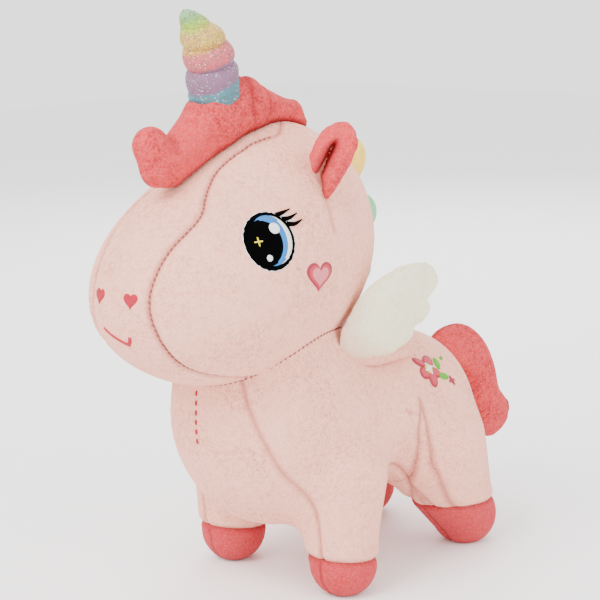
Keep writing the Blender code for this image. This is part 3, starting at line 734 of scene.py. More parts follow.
def glitter_finish():
    """Metallic-thread cloth in soft colour bands up the horn, with dark gaps and bright flakes."""
    made, tree, shader = finish_shell("glitter_bands")
    up = tree.nodes.new("ShaderNodeAttribute")
    up.attribute_name = "along"
    place = tree.nodes.new("ShaderNodeTexCoord").outputs["Object"]
    wobble = noise(tree, place, 260.0, 2.0)
    level = maths(tree, "ADD", up.outputs["Fac"], ranged(tree, wobble, 0.3, 0.7, -0.012, 0.012))
    ramp = tree.nodes.new("ShaderNodeValToRGB")
    join(tree, level, ramp.inputs["Fac"])
    bands = [
        (0.0, (0.03, 0.15, 0.19)), (0.08, (0.04, 0.17, 0.22)), (0.11, (0.18, 0.08, 0.16)),
        (0.31, (0.20, 0.09, 0.17)), (0.35, (0.50, 0.07, 0.09)), (0.50, (0.52, 0.09, 0.10)),
        (0.54, (0.52, 0.26, 0.02)), (0.62, (0.55, 0.35, 0.04)), (0.72, (0.55, 0.32, 0.06)),
        (0.79, (0.34, 0.42, 0.02)), (0.86, (0.22, 0.40, 0.03)), (0.92, (0.14, 0.33, 0.10)),
        (1.0, (0.24, 0.42, 0.25)),
    ]
    parts = ramp.color_ramp.elements
    parts[0].position, parts[1].position = bands[0][0], bands[-1][0]
    for at, colour in bands[1:-1]:
        parts.new(at)
    for part, (at, colour) in zip(parts, bands):
        part.position = at
        part.color = (*colour, 1.0)
    cells = tree.nodes.new("ShaderNodeTexVoronoi")
    cells.inputs["Scale"].default_value = 1700.0
    join(tree, place, cells.inputs["Vector"])
    pick = tree.nodes.new("ShaderNodeSeparateColor")
    join(tree, cells.outputs["Color"], pick.inputs["Color"])
    gaps = ranged(tree, pick.outputs[0], 0.68, 0.86, 0.0, 0.8)
    flakes = ranged(tree, pick.outputs[1], 0.93, 1.0, 0.0, 0.45)
    dark = mixed(tree, gaps, ramp.outputs["Color"], (0.13, 0.09, 0.08))
    bright = mixed(tree, flakes, dark, (0.98, 0.97, 0.95))
    join(tree, bright, shader.inputs["Base Color"])
    join(tree, ranged(tree, pick.outputs[1], 0.7, 1.0, 0.75, 0.35), shader.inputs["Roughness"])
    join(tree, ranged(tree, pick.outputs[1], 0.9, 1.0, 0.0, 0.4), shader.inputs["Metallic"])
    add_bump(tree, shader, cells.outputs["Distance"], 0.6, 0.35)
    return made


def pink():
    s = bpy.context.scene.plush_colours
    return pile_finish("pink_short_pile", s.body_pale, s.body_deep, s.body_seam_shade, depth=0.6, seam_depth=0.75)


def coral():
    s = bpy.context.scene.plush_colours
    return pile_finish("coral_short_pile", s.coral_pale, s.coral_deep, s.coral_seam_shade, speck=700.0,
                       depth=0.8, seam_depth=0.9, sheen=0.04, fleck=0.12)


def hoof_coral():
    s = bpy.context.scene.plush_colours
    return pile_finish("hoof_velour", s.hoof_pale, s.coral_deep, s.coral_seam_shade, speck=800.0,
                       depth=0.5, seam_depth=0.6, fleck=0.15)


# ---------------------------------------------------------------- embroidery

def tangent_frame(form, centre, lean=0.0):
    """Point on a form, with directions across and up in its tangent plane, turned by lean degrees."""
    at = pull_to(form, np.array([centre], float), 0.0, 8)[0]
    normal = slope_of(form, at[None])[0]
    across = np.cross([0, 0, 1], normal)
    across /= np.linalg.norm(across)
    up = np.cross(normal, across)
    c, s = math.cos(math.radians(lean)), math.sin(math.radians(lean))
    return at, c * across + s * up, c * up - s * across, normal


def patch(name, finish, base, outline, lift, height, edge=0.9, centre=None, rings=7):
    """Raised embroidery: an outline in a tangent frame, domed and laid over the cloth's own relief."""
    form, relief, (at, across, up, normal) = base
    core = np.array(outline.mean(0) if centre is None else centre)
    fraction = np.linspace(0.0, 1.0, rings + 1)[1:, None, None]
    flat = core + fraction * (outline[None] - core)
    dome = height * np.clip((1.0 - fraction[..., 0] ** 4) / edge, 0, 1) ** 0.5
    flat = np.concatenate([flat, flat[::-1]])
    rise = np.concatenate([0 * dome - 0.7, lift + dome[::-1]]) * np.ones(len(outline))
    points = at + flat[..., :1] * across + flat[..., 1:] * up
    shape = points.shape
    points = pull_to(form, points.reshape(-1, 3), 0.0)
    points = points + slope_of(form, points) * (relief(points) + rise.ravel())[:, None]
    grid = points.reshape(shape)
    solid, faces = capped_grid(grid)
    uv = np.concatenate([flat.reshape(-1, 2), [core, core]]) / 10.0
    return add_piece(name, solid, faces, finish, uv=uv)


def stroke_outline(points, widths, count=20):
    """Outline of a stroke: a path through a few points with half widths either side of it."""
    p = np.array(points, float)
    s = np.linspace(0, len(p) - 1, count)
    i = np.minimum(s.astype(int), len(p) - 2)
    t = (s - i)[:, None]
    padded = np.concatenate([[2 * p[0] - p[1]], p, [2 * p[-1] - p[-2]]])
    a, b, c, d = padded[i], padded[i + 1], padded[i + 2], padded[i + 3]
    path = 0.5 * (2 * b + (c - a) * t + (2 * a - 5 * b + 4 * c - d) * t**2 + (3 * b - a - 3 * c + d) * t**3)
    tangent = np.gradient(path, axis=0)
    tangent /= np.linalg.norm(tangent, axis=1, keepdims=True)
    side = np.stack([-tangent[:, 1], tangent[:, 0]], -1)
    half = np.interp(np.linspace(0, 1, count), np.linspace(0, 1, len(widths)), widths)[:, None]
    return path, side, half


def stroke(name, finish, base, points, widths, lift, height):
    """Narrow satin stroke laid on the cloth: a half-round ridge along a path."""
    form, relief, (at, across, up, normal) = base
    path, side, half = stroke_outline(points, widths)
    turn = np.linspace(0, 2 * math.pi, 10, endpoint=False)
    flat = path[:, None] + side[:, None] * half[:, None] * np.cos(turn)[None, :, None]
    rise = np.where(np.sin(turn) > -0.1, lift + height * np.sin(turn), -0.6)[None] * np.ones((len(path), 1))
    rise[0] = rise[-1] = -0.3
    spots = at + flat[..., :1] * across + flat[..., 1:] * up
    shape = spots.shape
    spots = pull_to(form, spots.reshape(-1, 3), 0.0)
    spots = spots + slope_of(form, spots) * (relief(spots) + rise.ravel())[:, None]
    solid, faces = capped_grid(spots.reshape(shape))
    uv = np.concatenate([flat.reshape(-1, 2), path[[0, -1]]]) / 10.0
    made = add_piece(name, solid, faces, finish, uv=uv)
    return made


def mirror_x(outline, side):
    """Turn a drawing left to right for the toy's right side, and keep its points in turning order."""
    return outline if side > 0 else (outline * [-1, 1])[::-1]


def heart_outline(width, height, count=56):
    """Heart from the sine cubed and a sum of cosines of a turn."""
    turn = np.arange(count) * 2 * math.pi / count
    x = np.sin(turn) ** 3
    y = (13 * np.cos(turn) - 5 * np.cos(2 * turn) - 2 * np.cos(3 * turn) - np.cos(4 * turn)) / 15 + 0.1
    return np.stack([width * x, height * y], -1)[::-1]


def star_outline(reach, waist, count=48):
    """Four-pointed star: the reach falls to the waist between points as a power of a cosine."""
    turn = np.arange(count) * 2 * math.pi / count
    r = waist + (reach - waist) * np.abs(np.cos(2 * turn)) ** 5
    return np.stack([r * np.cos(turn), r * np.sin(turn)], -1)


THREADS = {
    "black": (0.0008, 0.0008, 0.001), "white": (0.9, 0.9, 0.9), "blue": (0.03, 0.20, 0.55),
    "yellow": (0.80, 0.66, 0.05), "coral": (0.50, 0.02, 0.045), "rose": (0.40, 0.03, 0.06),
    "blush": (0.78, 0.22, 0.24), "light_rose": (0.58, 0.06, 0.085), "green": (0.10, 0.42, 0.02),
    "brown_pink": (0.36, 0.09, 0.08),
}


def thread(word):
    return thread_finish(f"{word}_satin", THREADS[word])


def stitch_row(name, finish, path, normals, length, pitch, radius, lean=0.0):
    """Short round stitches at an even pitch along a path: one small capsule each, all in one mesh."""
    steps = np.linalg.norm(np.diff(path, axis=0), axis=1)
    run = np.concatenate([[0], np.cumsum(steps)])
    centres = np.arange(pitch / 2, run[-1], pitch)
    spot = np.stack([np.interp(centres, run, path[:, i]) for i in range(3)], -1)
    ahead = np.stack([np.interp(centres + 0.5, run, path[:, i]) for i in range(3)], -1)
    normal = np.stack([np.interp(centres, run, normals[:, i]) for i in range(3)], -1)
    normal /= np.linalg.norm(normal, axis=1, keepdims=True)
    tangent = ahead - spot
    tangent /= np.maximum(np.linalg.norm(tangent, axis=1, keepdims=True), 1e-6)
    side = np.cross(normal, tangent)
    tangent = tangent * math.cos(lean) + side * math.sin(lean)
    side = np.cross(normal, tangent)
    s = np.array([-1.0, -0.8, -0.3, 0.3, 0.8, 1.0])
    fat = np.array([0.25, 0.75, 1.0, 1.0, 0.75, 0.25])
    turn = np.arange(6) * math.pi / 3
    ring = (np.cos(turn)[None, None, :, None] * side[:, None, None]
            + np.sin(turn)[None, None, :, None] * normal[:, None, None])
    grid = spot[:, None, None] + (s * length / 2)[None, :, None, None] * tangent[:, None, None]
    grid = grid + ring * (fat * radius)[None, :, None, None]
    grid = grid + normal[:, None, None] * (fat * radius * 0.5)[None, :, None, None]
    parts = [capped_grid(one) for one in grid]
    points, faces = joined(parts)
    return add_piece(name, points, faces, finish, uv=points[:, 1:] / 10.0)


def fan_line(form, seam, centre, first, last, side, count=160):
    """Line on a form where its seam runs: at each fan angle, step in from outside until the form is met."""
    angle = np.radians(np.linspace(first, last, count))
    x = side * smooth_table(seam, np.degrees(angle))
    reach = np.full(count, 190.0)
    for _ in range(80):
        p = np.stack([x, centre[0] - reach * np.cos(angle), centre[1] + reach * np.sin(angle)], -1)
        reach = reach - 0.8 * form(p)
    return pull_to(form, p, 0.0)


# ---------------------------------------------------------------- settings

class PlushColours(bpy.types.PropertyGroup):
    """Colours of the cloth."""
    body_pale: FloatVectorProperty(name="Body", description="Lit tips of the body's short pile",
                                   default=(0.90, 0.44, 0.33), size=3, subtype="COLOR", min=0, max=1)
    body_deep: FloatVectorProperty(name="Body specks", description="Shaded roots of the body's pile",
                                   default=(0.50, 0.15, 0.10), size=3, subtype="COLOR", min=0, max=1)
    # Colour mixed in at the body's seams: painted shade in the grooves over the rolled pile's own darker tone
    body_seam_shade: FloatVectorProperty(name="Body seams", description="Cloth inside the body's seams",
                                   default=(0.36, 0.07, 0.055), size=3, subtype="COLOR", min=0, max=1)
    coral_pale: FloatVectorProperty(name="Coral", description="Tail, ears and forelock",
                                    default=(0.60, 0.055, 0.06), size=3, subtype="COLOR", min=0, max=1)
    coral_deep: FloatVectorProperty(name="Coral specks", description="Shaded roots of the coral velour",
                                    default=(0.30, 0.010, 0.016), size=3, subtype="COLOR", min=0, max=1)
    # Colour mixed in at coral seams, folds and contacts: painted shade in grooves, creases and where pads lie on the
    # head, over the rolled pile's own darker tone
    coral_seam_shade: FloatVectorProperty(name="Coral seams", description="Cloth inside coral seams and folds",
                                    default=(0.16, 0.001, 0.002), size=3, subtype="COLOR", min=0, max=1)
    hoof_pale: FloatVectorProperty(name="Hooves", description="Velour of the four hoof covers",
                                   default=(0.50, 0.045, 0.052), size=3, subtype="COLOR", min=0, max=1)
    cream_pale: FloatVectorProperty(name="Wings", description="Pale pile of the wings",
                                    default=(0.84, 0.80, 0.56), size=3, subtype="COLOR", min=0, max=1)


class PlushSizes(bpy.types.PropertyGroup):
    """Sizes of the cloth and its details."""
    body_cell: FloatProperty(name="Cloth cell", description="Edge length of the head and trunk cloth",
                             default=1.3 * MM, min=0.8 * MM, max=5 * MM, unit="LENGTH", precision=5)
    pad_cell: FloatProperty(name="Pad cell", description="Voxel size of the small stuffed pads",
                            default=2.6 * MM, min=2 * MM, max=6 * MM, unit="LENGTH", precision=5)
    pad_reach: FloatProperty(name="Pad swelling", description="Furthest that a pad's cloth may swell",
                             default=1.6 * MM, min=0, max=6 * MM, unit="LENGTH", precision=5)
    pressure: FloatProperty(name="Stuffing pressure", description="Pressure inside the simulated pads",
                            default=4.0, min=0.5, max=10)
    stitch_pitch: FloatProperty(name="Stitch pitch", description="Spacing of the seam stitches",
                                default=2.9 * MM, min=1 * MM, max=8 * MM, unit="LENGTH", precision=5)
    horn_rings: IntProperty(name="Horn rings", description="Rows of points up the horn",
                            default=150, min=40, max=300)


# ---------------------------------------------------------------- operators

def placing(right, up, back, place):
    """Matrix of an object whose own axes point along three directions and that stands at a place."""
    return Matrix(np.vstack([np.column_stack([right, up, back, place]), [0, 0, 0, 1]]).tolist())


class PLUSH_OT_stage(bpy.types.Operator):
    """Pale floor, soft studio light and the camera."""
    bl_idname = "plush.stage"
    bl_label = "Stage"

    def execute(self, context):
        s = np.linspace(-1, 1, 21)
        x, y = np.meshgrid(s * 2600, s * 2600)
        floor = np.stack([x, y, 0 * x - 0.4], -1)
        made, tree, shader = finish_shell("pale_floor")
        shader.inputs["Base Color"].default_value = (0.93, 0.93, 0.93, 1)
        shader.inputs["Roughness"].default_value = 0.9
        sheet = add_piece("floor", floor.reshape(-1, 3), [grid_quads(21, 21, wrap=False)], made)
        world = bpy.data.worlds.new("studio")
        world.use_nodes = True
        world.node_tree.nodes["Background"].inputs["Color"].default_value = (1.0, 0.99, 0.98, 1)
        world.node_tree.nodes["Background"].inputs["Strength"].default_value = 2.1
        context.scene.world = world
        target = np.array([0.0, -0.03, 0.15])
        for name, place, size, power in (
            ("key", (0.05, -1.1, 1.2), 0.8, 27.0),
            ("side", (1.3, -0.2, 0.7), 1.0, 10.0),
            ("rim", (-0.7, 0.9, 0.9), 0.9, 14.0),
        ):
            lamp = bpy.data.lights.new(name, "AREA")
            lamp.size = size
            lamp.energy = power
            item = bpy.data.objects.new(name, lamp)
            away = np.array(place) - target
            away /= np.linalg.norm(away)
            right = np.cross([0, 0, 1], away)
            right /= np.linalg.norm(right)
            item.matrix_world = placing(right, np.cross(away, right), away, place)
            context.scene.collection.objects.link(item)
        aim_camera(context.scene)
        return {"FINISHED"}


CAMERA_TURN = 44.54             # degrees from straight in front, towards the toy's left
CAMERA_RISE = 11.71
CAMERA_ROLL = -1.67
CAMERA_DISTANCE = 0.9309
CAMERA_TARGET = (0.0003, -0.0275, 0.1551)
CAMERA_LENS = 100.7


def aim_camera(scene):
    """Camera on a sphere round its target, rolled about its own line of sight."""
    a, e, roll = (math.radians(v) for v in (CAMERA_TURN, CAMERA_RISE, CAMERA_ROLL))
    ahead = np.array([-math.sin(a) * math.cos(e), math.cos(a) * math.cos(e), -math.sin(e)])
    right = np.array([math.cos(a), math.sin(a), 0.0])
    up = np.cross(right, ahead)
    turned = math.cos(roll) * right + math.sin(roll) * up
    up = -math.sin(roll) * right + math.cos(roll) * up
    place = np.array(CAMERA_TARGET) - ahead * CAMERA_DISTANCE
    lens = bpy.data.cameras.new("camera")
    lens.lens = CAMERA_LENS
    lens.sensor_width = 36.0
    lens.clip_start, lens.clip_end = 0.05, 20.0
    item = bpy.data.objects.new("camera", lens)
    item.matrix_world = placing(turned, up, -ahead, place)
    scene.collection.objects.link(item)
    scene.camera = item


def other_half(side):
    return lambda p: -side * p[..., 0]


class PLUSH_OT_trunk(bpy.types.Operator):
    """Chest, belly, side panels, leg gussets and hoof covers."""
    bl_idname = "plush.trunk"
    bl_label = "Trunk and legs"

    def execute(self, context):
        cell = context.scene.plush_sizes.body_cell / MM
        rods = [NECK_ROD]
        for start, end, ra, rb in (FRONT_LEG, REAR_LEG):
            rods += [((s * start[0], *start[1:]), (s * end[0], *end[1:]), ra, rb) for s in (1, -1)]
        surface = form_surface(trunk_form, TRUNK_BALLS, rods, cell, floor=0.0)

        def shade(p):
            seams, dart, cuff, sole = trunk_lines(p)
            return np.maximum.reduce([0.55 * seams, 0.8 * dart, 0.6 * cuff, 0.5 * sole])

        def in_head(p):
            return -1.2 - head_form(p)

        def above(p):
            return -hoof_top(p)
        shared = [above, in_head]
        rows = {
            "chest": ([under, behind_chest], ["chest_panel", "trunk_stuffing"]),
            "belly": ([belly, lambda p: -behind_chest(p)], ["belly_panel"]),
        }
        for side, word in SIDES:
            half = other_half(side)
            rows[f"{word}_gusset"] = (
                [half, lambda p: -belly(p), under_or_dart, lambda p: -behind_chest(p)], [f"{word}_leg_gusset"])
            rows[f"{word}_side"] = ([half, lambda p: -under_or_dart(p)], [f"{word}_side_panel"])
        for word, (fields, nodes) in rows.items():
            piece = cloth_panel(f"{word}_cloth", pink(), surface, trunk_form, trunk_relief, shade,
                                fields + shared, floor=0.0)
            declare(piece, "toy", nodes)
        for side, word in SIDES:
            for leg, sign in (("front", 1), ("rear", -1)):
                for half, inner in (("outer", 1), ("inner", -1)):
                    fields = [hoof_top, other_half(side), lambda p, sign=sign: sign * (p[..., 1] - 8),
                              lambda p, inner=inner: -inner * hoof_middle(p)]
                    name = f"{leg}_{word}"
                    piece = cloth_panel(f"{name}_hoof_{half}_cloth", hoof_coral(), surface, trunk_form, trunk_relief,
                                        shade, fields, floor=0.0)
                    nodes = [f"{name}_hoof_{half}"] + ([f"{name}_leg_stuffing"] if half == "outer" else [])
                    declare(piece, "toy", nodes)
        return {"FINISHED"}


class PLUSH_OT_head(bpy.types.Operator):
    """Face gusset, two cheeks, the stitches along the face seam and round the neck, and grooves at the ear darts."""
    bl_idname = "plush.head"
    bl_label = "Head"

    def execute(self, context):
        cell = context.scene.plush_sizes.body_cell / MM
        surface = form_surface(head_form, HEAD_BALLS, [], cell)

        def shade(p):
            line, dart = head_seams(p)
            return np.maximum(0.75 * line, 0.6 * dart)
        piece = cloth_panel("face_cloth", pink(), surface, head_form, head_relief, shade, [face])
        declare(piece, "toy", ["face_gusset", "head_stuffing"])
        for side, word in SIDES:
            fields = [other_half(side), lambda p: -face(p)]
            piece = cloth_panel(f"{word}_cheek_cloth", pink(), surface, head_form, head_relief, shade, fields)
            declare(piece, "toy", [f"{word}_cheek_panel"])
            line = fan_line(head_form, FACE_SEAM, HEAD_FAN, -84, 108, side)
            normal = slope_of(head_form, line)
            line = line + normal * (head_relief(line) + 0.25)[:, None]
            row = stitch_row(f"{word}_face_stitches", thread("brown_pink"), line, normal, 2.0,
                             context.scene.plush_sizes.stitch_pitch / MM, 0.42, lean=side * 0.35)
            declare(row, "toy", [])
        line, normal = neck_line()
        line = line + normal * 0.3
        row = stitch_row("neck_stitches", thread("brown_pink"), line, normal, 1.9,
                         context.scene.plush_sizes.stitch_pitch / MM, 0.38, lean=0.3)
        declare(row, "toy", [])
        return {"FINISHED"}


def neck_line(count=240):
    """Closed line where the head meets the trunk: points stepped onto one form and the other in turn."""
    turn = np.linspace(0, 2 * math.pi, count)
    p = np.stack([42 * np.sin(turn), -60 - 45 * np.cos(turn), 0 * turn + 143], -1)
    for _ in range(30):
        p = pull_to(head_form, p, 0.0, 1)
        p = pull_to(trunk_form, p, 0.0, 1)
    return p, slope_of(head_form, p) * 0.5 + slope_of(trunk_form, p) * 0.5


class PLUSH_OT_face_details(bpy.types.Operator):
    """Eyes, cheek hearts, nostrils and the mouth."""
    bl_idname = "plush.face_details"
    bl_label = "Face embroidery"

    def execute(self, context):
        for side, word in SIDES:
            self.eye(side, word)
            self.heart(side, word)
            base = (head_form, head_relief, tangent_frame(head_form, middle(f"{word}_nostril")))
            piece = patch(f"{word}_nostril_heart", thread("coral"), base, heart_outline(4.4, 4.2), 0.15, 0.7)
            declare(piece, "toy", [f"{word}_nostril"])
        base = (head_form, head_relief, tangent_frame(head_form, middle("mouth")))
        line = stroke("mouth_line", thread("coral"), base,
                      [(-11, 5.6), (-5.7, 2.9), (0.9, 0.1), (6.0, -2.0), (7.2, -1.9)],
                      [0.6, 0.75, 0.9, 0.9], 0.1, 0.6)
        declare(line, "toy", ["mouth"])
        tick = stroke("mouth_tick", thread("coral"), base, [(5.6, -2.2), (7.6, -0.4), (9.2, 2.6)],
                      [0.9, 1.1, 0.9], 0.15, 0.7)
        declare(tick, "toy", [])
        return {"FINISHED"}

    def eye(self, side, word):
        base = (head_form, head_relief, tangent_frame(head_form, middle(f"{word}_eye")))
        turn = np.arange(64) * 2 * math.pi / 64
        ragged = 1 + 0.012 * np.sin(23 * turn) + 0.008 * np.sin(37 * turn + 1)
        layers = [
            ("rim", "white", round_outline(15.2, 16.1, 64), (0, 0), 0.05, 0.25),
            ("oval", "black", round_outline(14.7, 15.7, 64) * ragged[:, None], (0, 0), 0.15, 0.45),
            ("white_crescent", "white", round_outline(11.6, 13.2, 64), (1.2, 0.1), 0.45, 0.45),
            ("blue_crescent", "blue", round_outline(10.6, 13.4, 64), (0.2, 0.2), 0.62, 0.45),
            ("pupil", "black", round_outline(10.5, 12.3, 64), (-2.9, -0.7), 0.82, 0.45),
            ("large_glint", "white", round_outline(3.3, 3.1, 40), (3.6, 5.7), 1.0, 0.5),
            ("small_glint", "white", round_outline(1.9, 1.8, 32), (-3.2, -8.9), 1.0, 0.45),
            ("star", "yellow", star_outline(2.9, 0.75), (-7.2, 0.0), 1.05, 0.35),
        ]
        for name, colour, outline, centre, lift, height in layers:
            shape = mirror_x(outline + np.array(centre), side)
            piece = patch(f"{word}_eye_{name}", thread(colour), base, shape, lift, height)
            declare(piece, "toy", [f"{word}_eye"] if name == "oval" else [])
        lashes = [
            ([(7.5, 12.8), (11.5, 13.8), (17.6, 15.6)], "upper"),
            ([(10.2, 10.4), (15.0, 10.6), (21.2, 13.0)], "middle"),
            ([(12.4, 7.6), (17.4, 7.2), (23.4, 9.2)], "lower"),
        ]
        for points, name in lashes:
            path = [(side * u, v) for u, v in points]
            piece = stroke(f"{word}_lash_{name}", thread("black"), base, path, [1.5, 1.1, 0.25], 0.2, 0.55)
            declare(piece, "toy", [])
        for points, name in (([(11, 12), (17, 12.9)], "upper"), ([(13.4, 9.0), (20.0, 9.6)], "lower")):
            path = [(side * u, v) for u, v in points]
            piece = stroke(f"{word}_lash_gap_{name}", thread("white"), base, path, [0.5, 0.2], 0.05, 0.3)
            declare(piece, "toy", [])

    def heart(self, side, word):
        base = (head_form, head_relief, tangent_frame(head_form, middle(f"{word}_cheek_heart"), -6 * side))
        for name, colour, scale, lift in (
            ("edge", "rose", 1.0, 0.15), ("border", "light_rose", 0.88, 0.35), ("fill", "blush", 0.72, 0.5),
        ):
            outline = heart_outline(10.4 * scale, 8.1 * scale)
            piece = patch(f"{word}_heart_{name}", thread(colour), base, outline, lift, 0.45)
            declare(piece, "toy", [f"{word}_cheek_heart"] if name == "edge" else [])


# petals of the hip flower: centre right and up, half length, half width, turn in degrees
PETALS = [
    (-2.8, 5.6, 4.4, 1.9, 125), (3.4, 3.2, 3.6, 3.2, 35), (-3.6, -0.6, 3.8, 3.0, 165),
    (-0.2, -5.2, 4.4, 2.8, -100), (3.4, -3.6, 4.2, 2.2, -40),
]


class PLUSH_OT_body_details(bpy.types.Operator):
    """Hand stitches on the chest, and a flower with leaves and dashes on each hip."""
    bl_idname = "plush.body_details"
    bl_label = "Body embroidery"

    def execute(self, context):
        spots = np.stack([np.zeros(30), np.full(30, -110.0), np.linspace(121, 91, 30)], -1)
        line = pull_to(trunk_form, spots, 0.0)
        normal = slope_of(trunk_form, line)
        line = line + normal * (trunk_relief(line))[:, None]
        row = stitch_row("chest_hand_stitches", thread("coral"), line, normal, 3.0, 5.2, 0.65)
        declare(row, "toy", ["chest_stitches"])
        for side, word in SIDES:
            frame_at = tangent_frame(trunk_form, middle(f"{word}_hip_flower"))
            base = (trunk_form, trunk_relief, frame_at)
            rows = []
            for number, (right, up, length, width, turn) in enumerate(PETALS):
                edge = round_outline(length + 0.6, width + 0.6, 32) @ turned(turn) + [right, up]
                inner = round_outline(length - 0.4, width - 0.4, 32) @ turned(turn) + [right, up]
                rows.append((f"petal_edge_{number}", "rose", stretched(edge, 32, 1.4), 0.15, 0.4, (0, 0)))
                word_part = "petals" if number == 0 else f"petals_{number}"
                rows.append((word_part, "light_rose", stretched(inner, 32, 1.4), 0.4, 0.5, (0, 0)))
            rows += [
                ("ring", "yellow", stretched(round_outline(2.9, 2.6, 32), 32, 1.3), 0.85, 0.35, (0, 0)),
                ("centre", "white", stretched(star_outline(3.6, 1.2), 32, 1.3), 1.15, 0.3, (0, 0)),
                ("leaf_upper", "green", round_outline(4.4, 2.2, 28) @ turned(60), 0.2, 0.5, (11.6, 1.0)),
                ("leaf_lower", "green", round_outline(4.6, 2.3, 28) @ turned(-20), 0.2, 0.5, (9.6, -7.3)),
                ("leaf_dash", "green", round_outline(1.9, 1.2, 20) @ turned(30), 0.2, 0.4, (19.7, 3.0)),
                ("petal_dash", "rose", star_outline(3.4, 1.9), 0.2, 0.45, (15.2, -11.7)),
            ]
            for name, colour, outline, lift, height, centre in rows:
                shape = mirror_x(outline + np.array(centre), side)
                piece = patch(f"{word}_flower_{name}", thread(colour), base, shape, lift, height)
                declare(piece, "toy", [f"{word}_hip_flower"] if name == "petals" else [])
        return {"FINISHED"}


def stretched(outline, degrees, factor):
    """Lengthen flat points by a factor along one direction of their plane."""
    return outline @ turned(-degrees) * [factor, 1.0] @ turned(degrees)


def turned(degrees):
    """Matrix that turns flat points to the left when they multiply it."""
    c, s = math.cos(math.radians(degrees)), math.sin(math.radians(degrees))
    return np.array([[c, s], [-s, c]])


HORN_BASE = (0.0, -86.0, 274.0)
HORN_TIP = (0.0, -104.5, 317.5)
HORN_RADIUS = 14.0
HORN_BEND = 5.0
HORN_SLANT = 0.8                # turn at which the windings lie lowest
HORN_PROFILE = [
    (0, 13.8), (0.1, 14), (0.26, 13.6), (0.43, 12.8), (0.55, 12.0), (0.65, 10.6), (0.84, 6.7), (0.94, 4.0),
    (1, 2.8),
]


def horn_axes():
    base, tip = np.array(HORN_BASE), np.array(HORN_TIP)
    length = np.linalg.norm(tip - base)
    axis = (tip - base) / length
    side = np.array([1.0, 0.0, 0.0])
    return base, axis, side, np.cross(axis, side), length


class PLUSH_OT_horn(bpy.types.Operator):
    """Horn of banded glitter cloth, wound so that it bulges between the turns."""
    bl_idname = "plush.horn"
    bl_label = "Horn"

    def execute(self, context):
        base, axis, side, front, length = horn_axes()
        rows, columns = context.scene.plush_sizes.horn_rings, 96
        t = np.linspace(-0.10, 1.0, rows)[:, None]
        turn = np.arange(columns)[None] * 2 * math.pi / columns
        body = np.clip(t, 0, 1)
        cone = np.interp(body, *zip(*HORN_PROFILE)) * np.sqrt(np.clip((1.0 - body) / 0.06, 0, 1)) ** 0.8
        phase = (t - 0.30 + 0.035 * np.cos(turn - HORN_SLANT)) / 0.245
        wave = np.abs(np.sin(math.pi * phase)) ** 0.5
        weight = np.clip(1.0 - body**5, 0, 1) * np.clip((body - 0.06) / 0.1, 0, 1)
        folds = 0.012 * np.sin(9 * turn + 3 * phase) * weight
        tuck = np.where(t < 0.02, 0.93 + 0.07 * np.clip((t + 0.1) / 0.12, 0, 1), 1.0)
        reach = cone * tuck * (1.0 - 0.21 * weight * (1 - wave) + folds + 0.04 * weight)
        bow = front * (HORN_BEND * np.sin(math.pi * body))[..., None]
        along = base + axis * (t * length)[..., None] + bow
        grid = along + reach[..., None] * (np.cos(turn)[..., None] * side + np.sin(turn)[..., None] * front)
        points, faces = capped_grid(grid)
        level = np.concatenate([(t + 0 * turn).ravel(), [0.0, 1.0]])
        masks = {"along": np.clip(level, 0, 1)}
        piece = add_piece("horn_cloth", points, faces, glitter_finish(), masks=masks)
        declare(piece, "toy", ["horn_cover", "horn_stuffing"])
        return {"FINISHED"}


def horn_clear(p):
    """Keep a pad out of the horn: points over its foot are pressed down below it."""
    base, axis, side, front, length = horn_axes()
    local = p - base
    height = local @ axis
    out = np.linalg.norm(local - height[:, None] * axis, axis=1)
    press = np.where((out < HORN_RADIUS + 1.5) & (height > 0.5), height - 0.5, 0.0)
    return p - press[:, None] * axis


class PLUSH_OT_forelock(bpy.types.Operator):
    """Stuffed forelock that lies over the crown and curls up at the front."""
    bl_idname = "plush.forelock"
    bl_label = "Forelock"

    def execute(self, context):
        sizes = context.scene.plush_sizes
        item = add_piece("forelock_cloth", *joined(rod_seeds(LOCK_RODS)), coral())
        remesh(item, 3.5)
        place_points(item.data, pull_to(lock_form, coordinates(item.data), -sizes.pad_reach / MM * 0.6))
        swell([item], sizes.pad_reach / MM, sizes.pressure)
        subdivide(item, 2)
        p = coordinates(item.data)
        fold = bell(p[:, 1] + 66 + 0.25 * p[:, 0], 2.2) * (p[:, 2] > 262)
        fold2 = bell(p[:, 1] + 58 - 0.35 * p[:, 0], 1.8) * (p[:, 2] > 262)
        notch = bell(p[:, 1] + 119.5, 2.2) * (p[:, 2] > 246)
        normal = slope_of(lock_form, p)
        p = p - normal * (1.1 * fold + 0.8 * fold2 + 0.6 * notch)[:, None]
        gap = head_form(p)
        faces_down = np.clip(-2.5 * normal[:, 2], 0, 1)
        sewn = np.clip((11 - gap) / 5, 0, 1) * faces_down * np.clip((p[:, 1] + 126) / 6, 0, 1)
        p = p - slope_of(head_form, p) * (sewn * (gap - 0.5))[:, None]
        p = horn_clear(lay_on(head_form, p, 0.5))
        # Painted shade where the lock lies on the head
        contact_shade = bell(head_form(p) - 0.5, 2.2)
        place_points(item.data, p)
        # The seam attribute paints shade into the contact with the head, the folds and the notch
        set_mask(item.data, "seam", np.maximum.reduce([contact_shade, 0.5 * fold, 0.4 * fold2, 0.35 * notch]))
        declare(item, "toy", ["forelock"])
        return {"FINISHED"}


MANE_LOBES = [
    ("yellow", (9, 227), 20, 15, 35, (0.86, 0.60, 0.09), (0.60, 0.36, 0.04)),
    ("green", (17, 197), 19, 14.5, 10, (0.20, 0.55, 0.26), (0.08, 0.33, 0.12)),
    ("blue", (12, 169), 18.5, 14, -20, (0.22, 0.48, 0.66), (0.10, 0.28, 0.44)),
    ("lilac", (-1, 145), 17, 12, -40, (0.45, 0.32, 0.64), (0.25, 0.15, 0.42)),
]


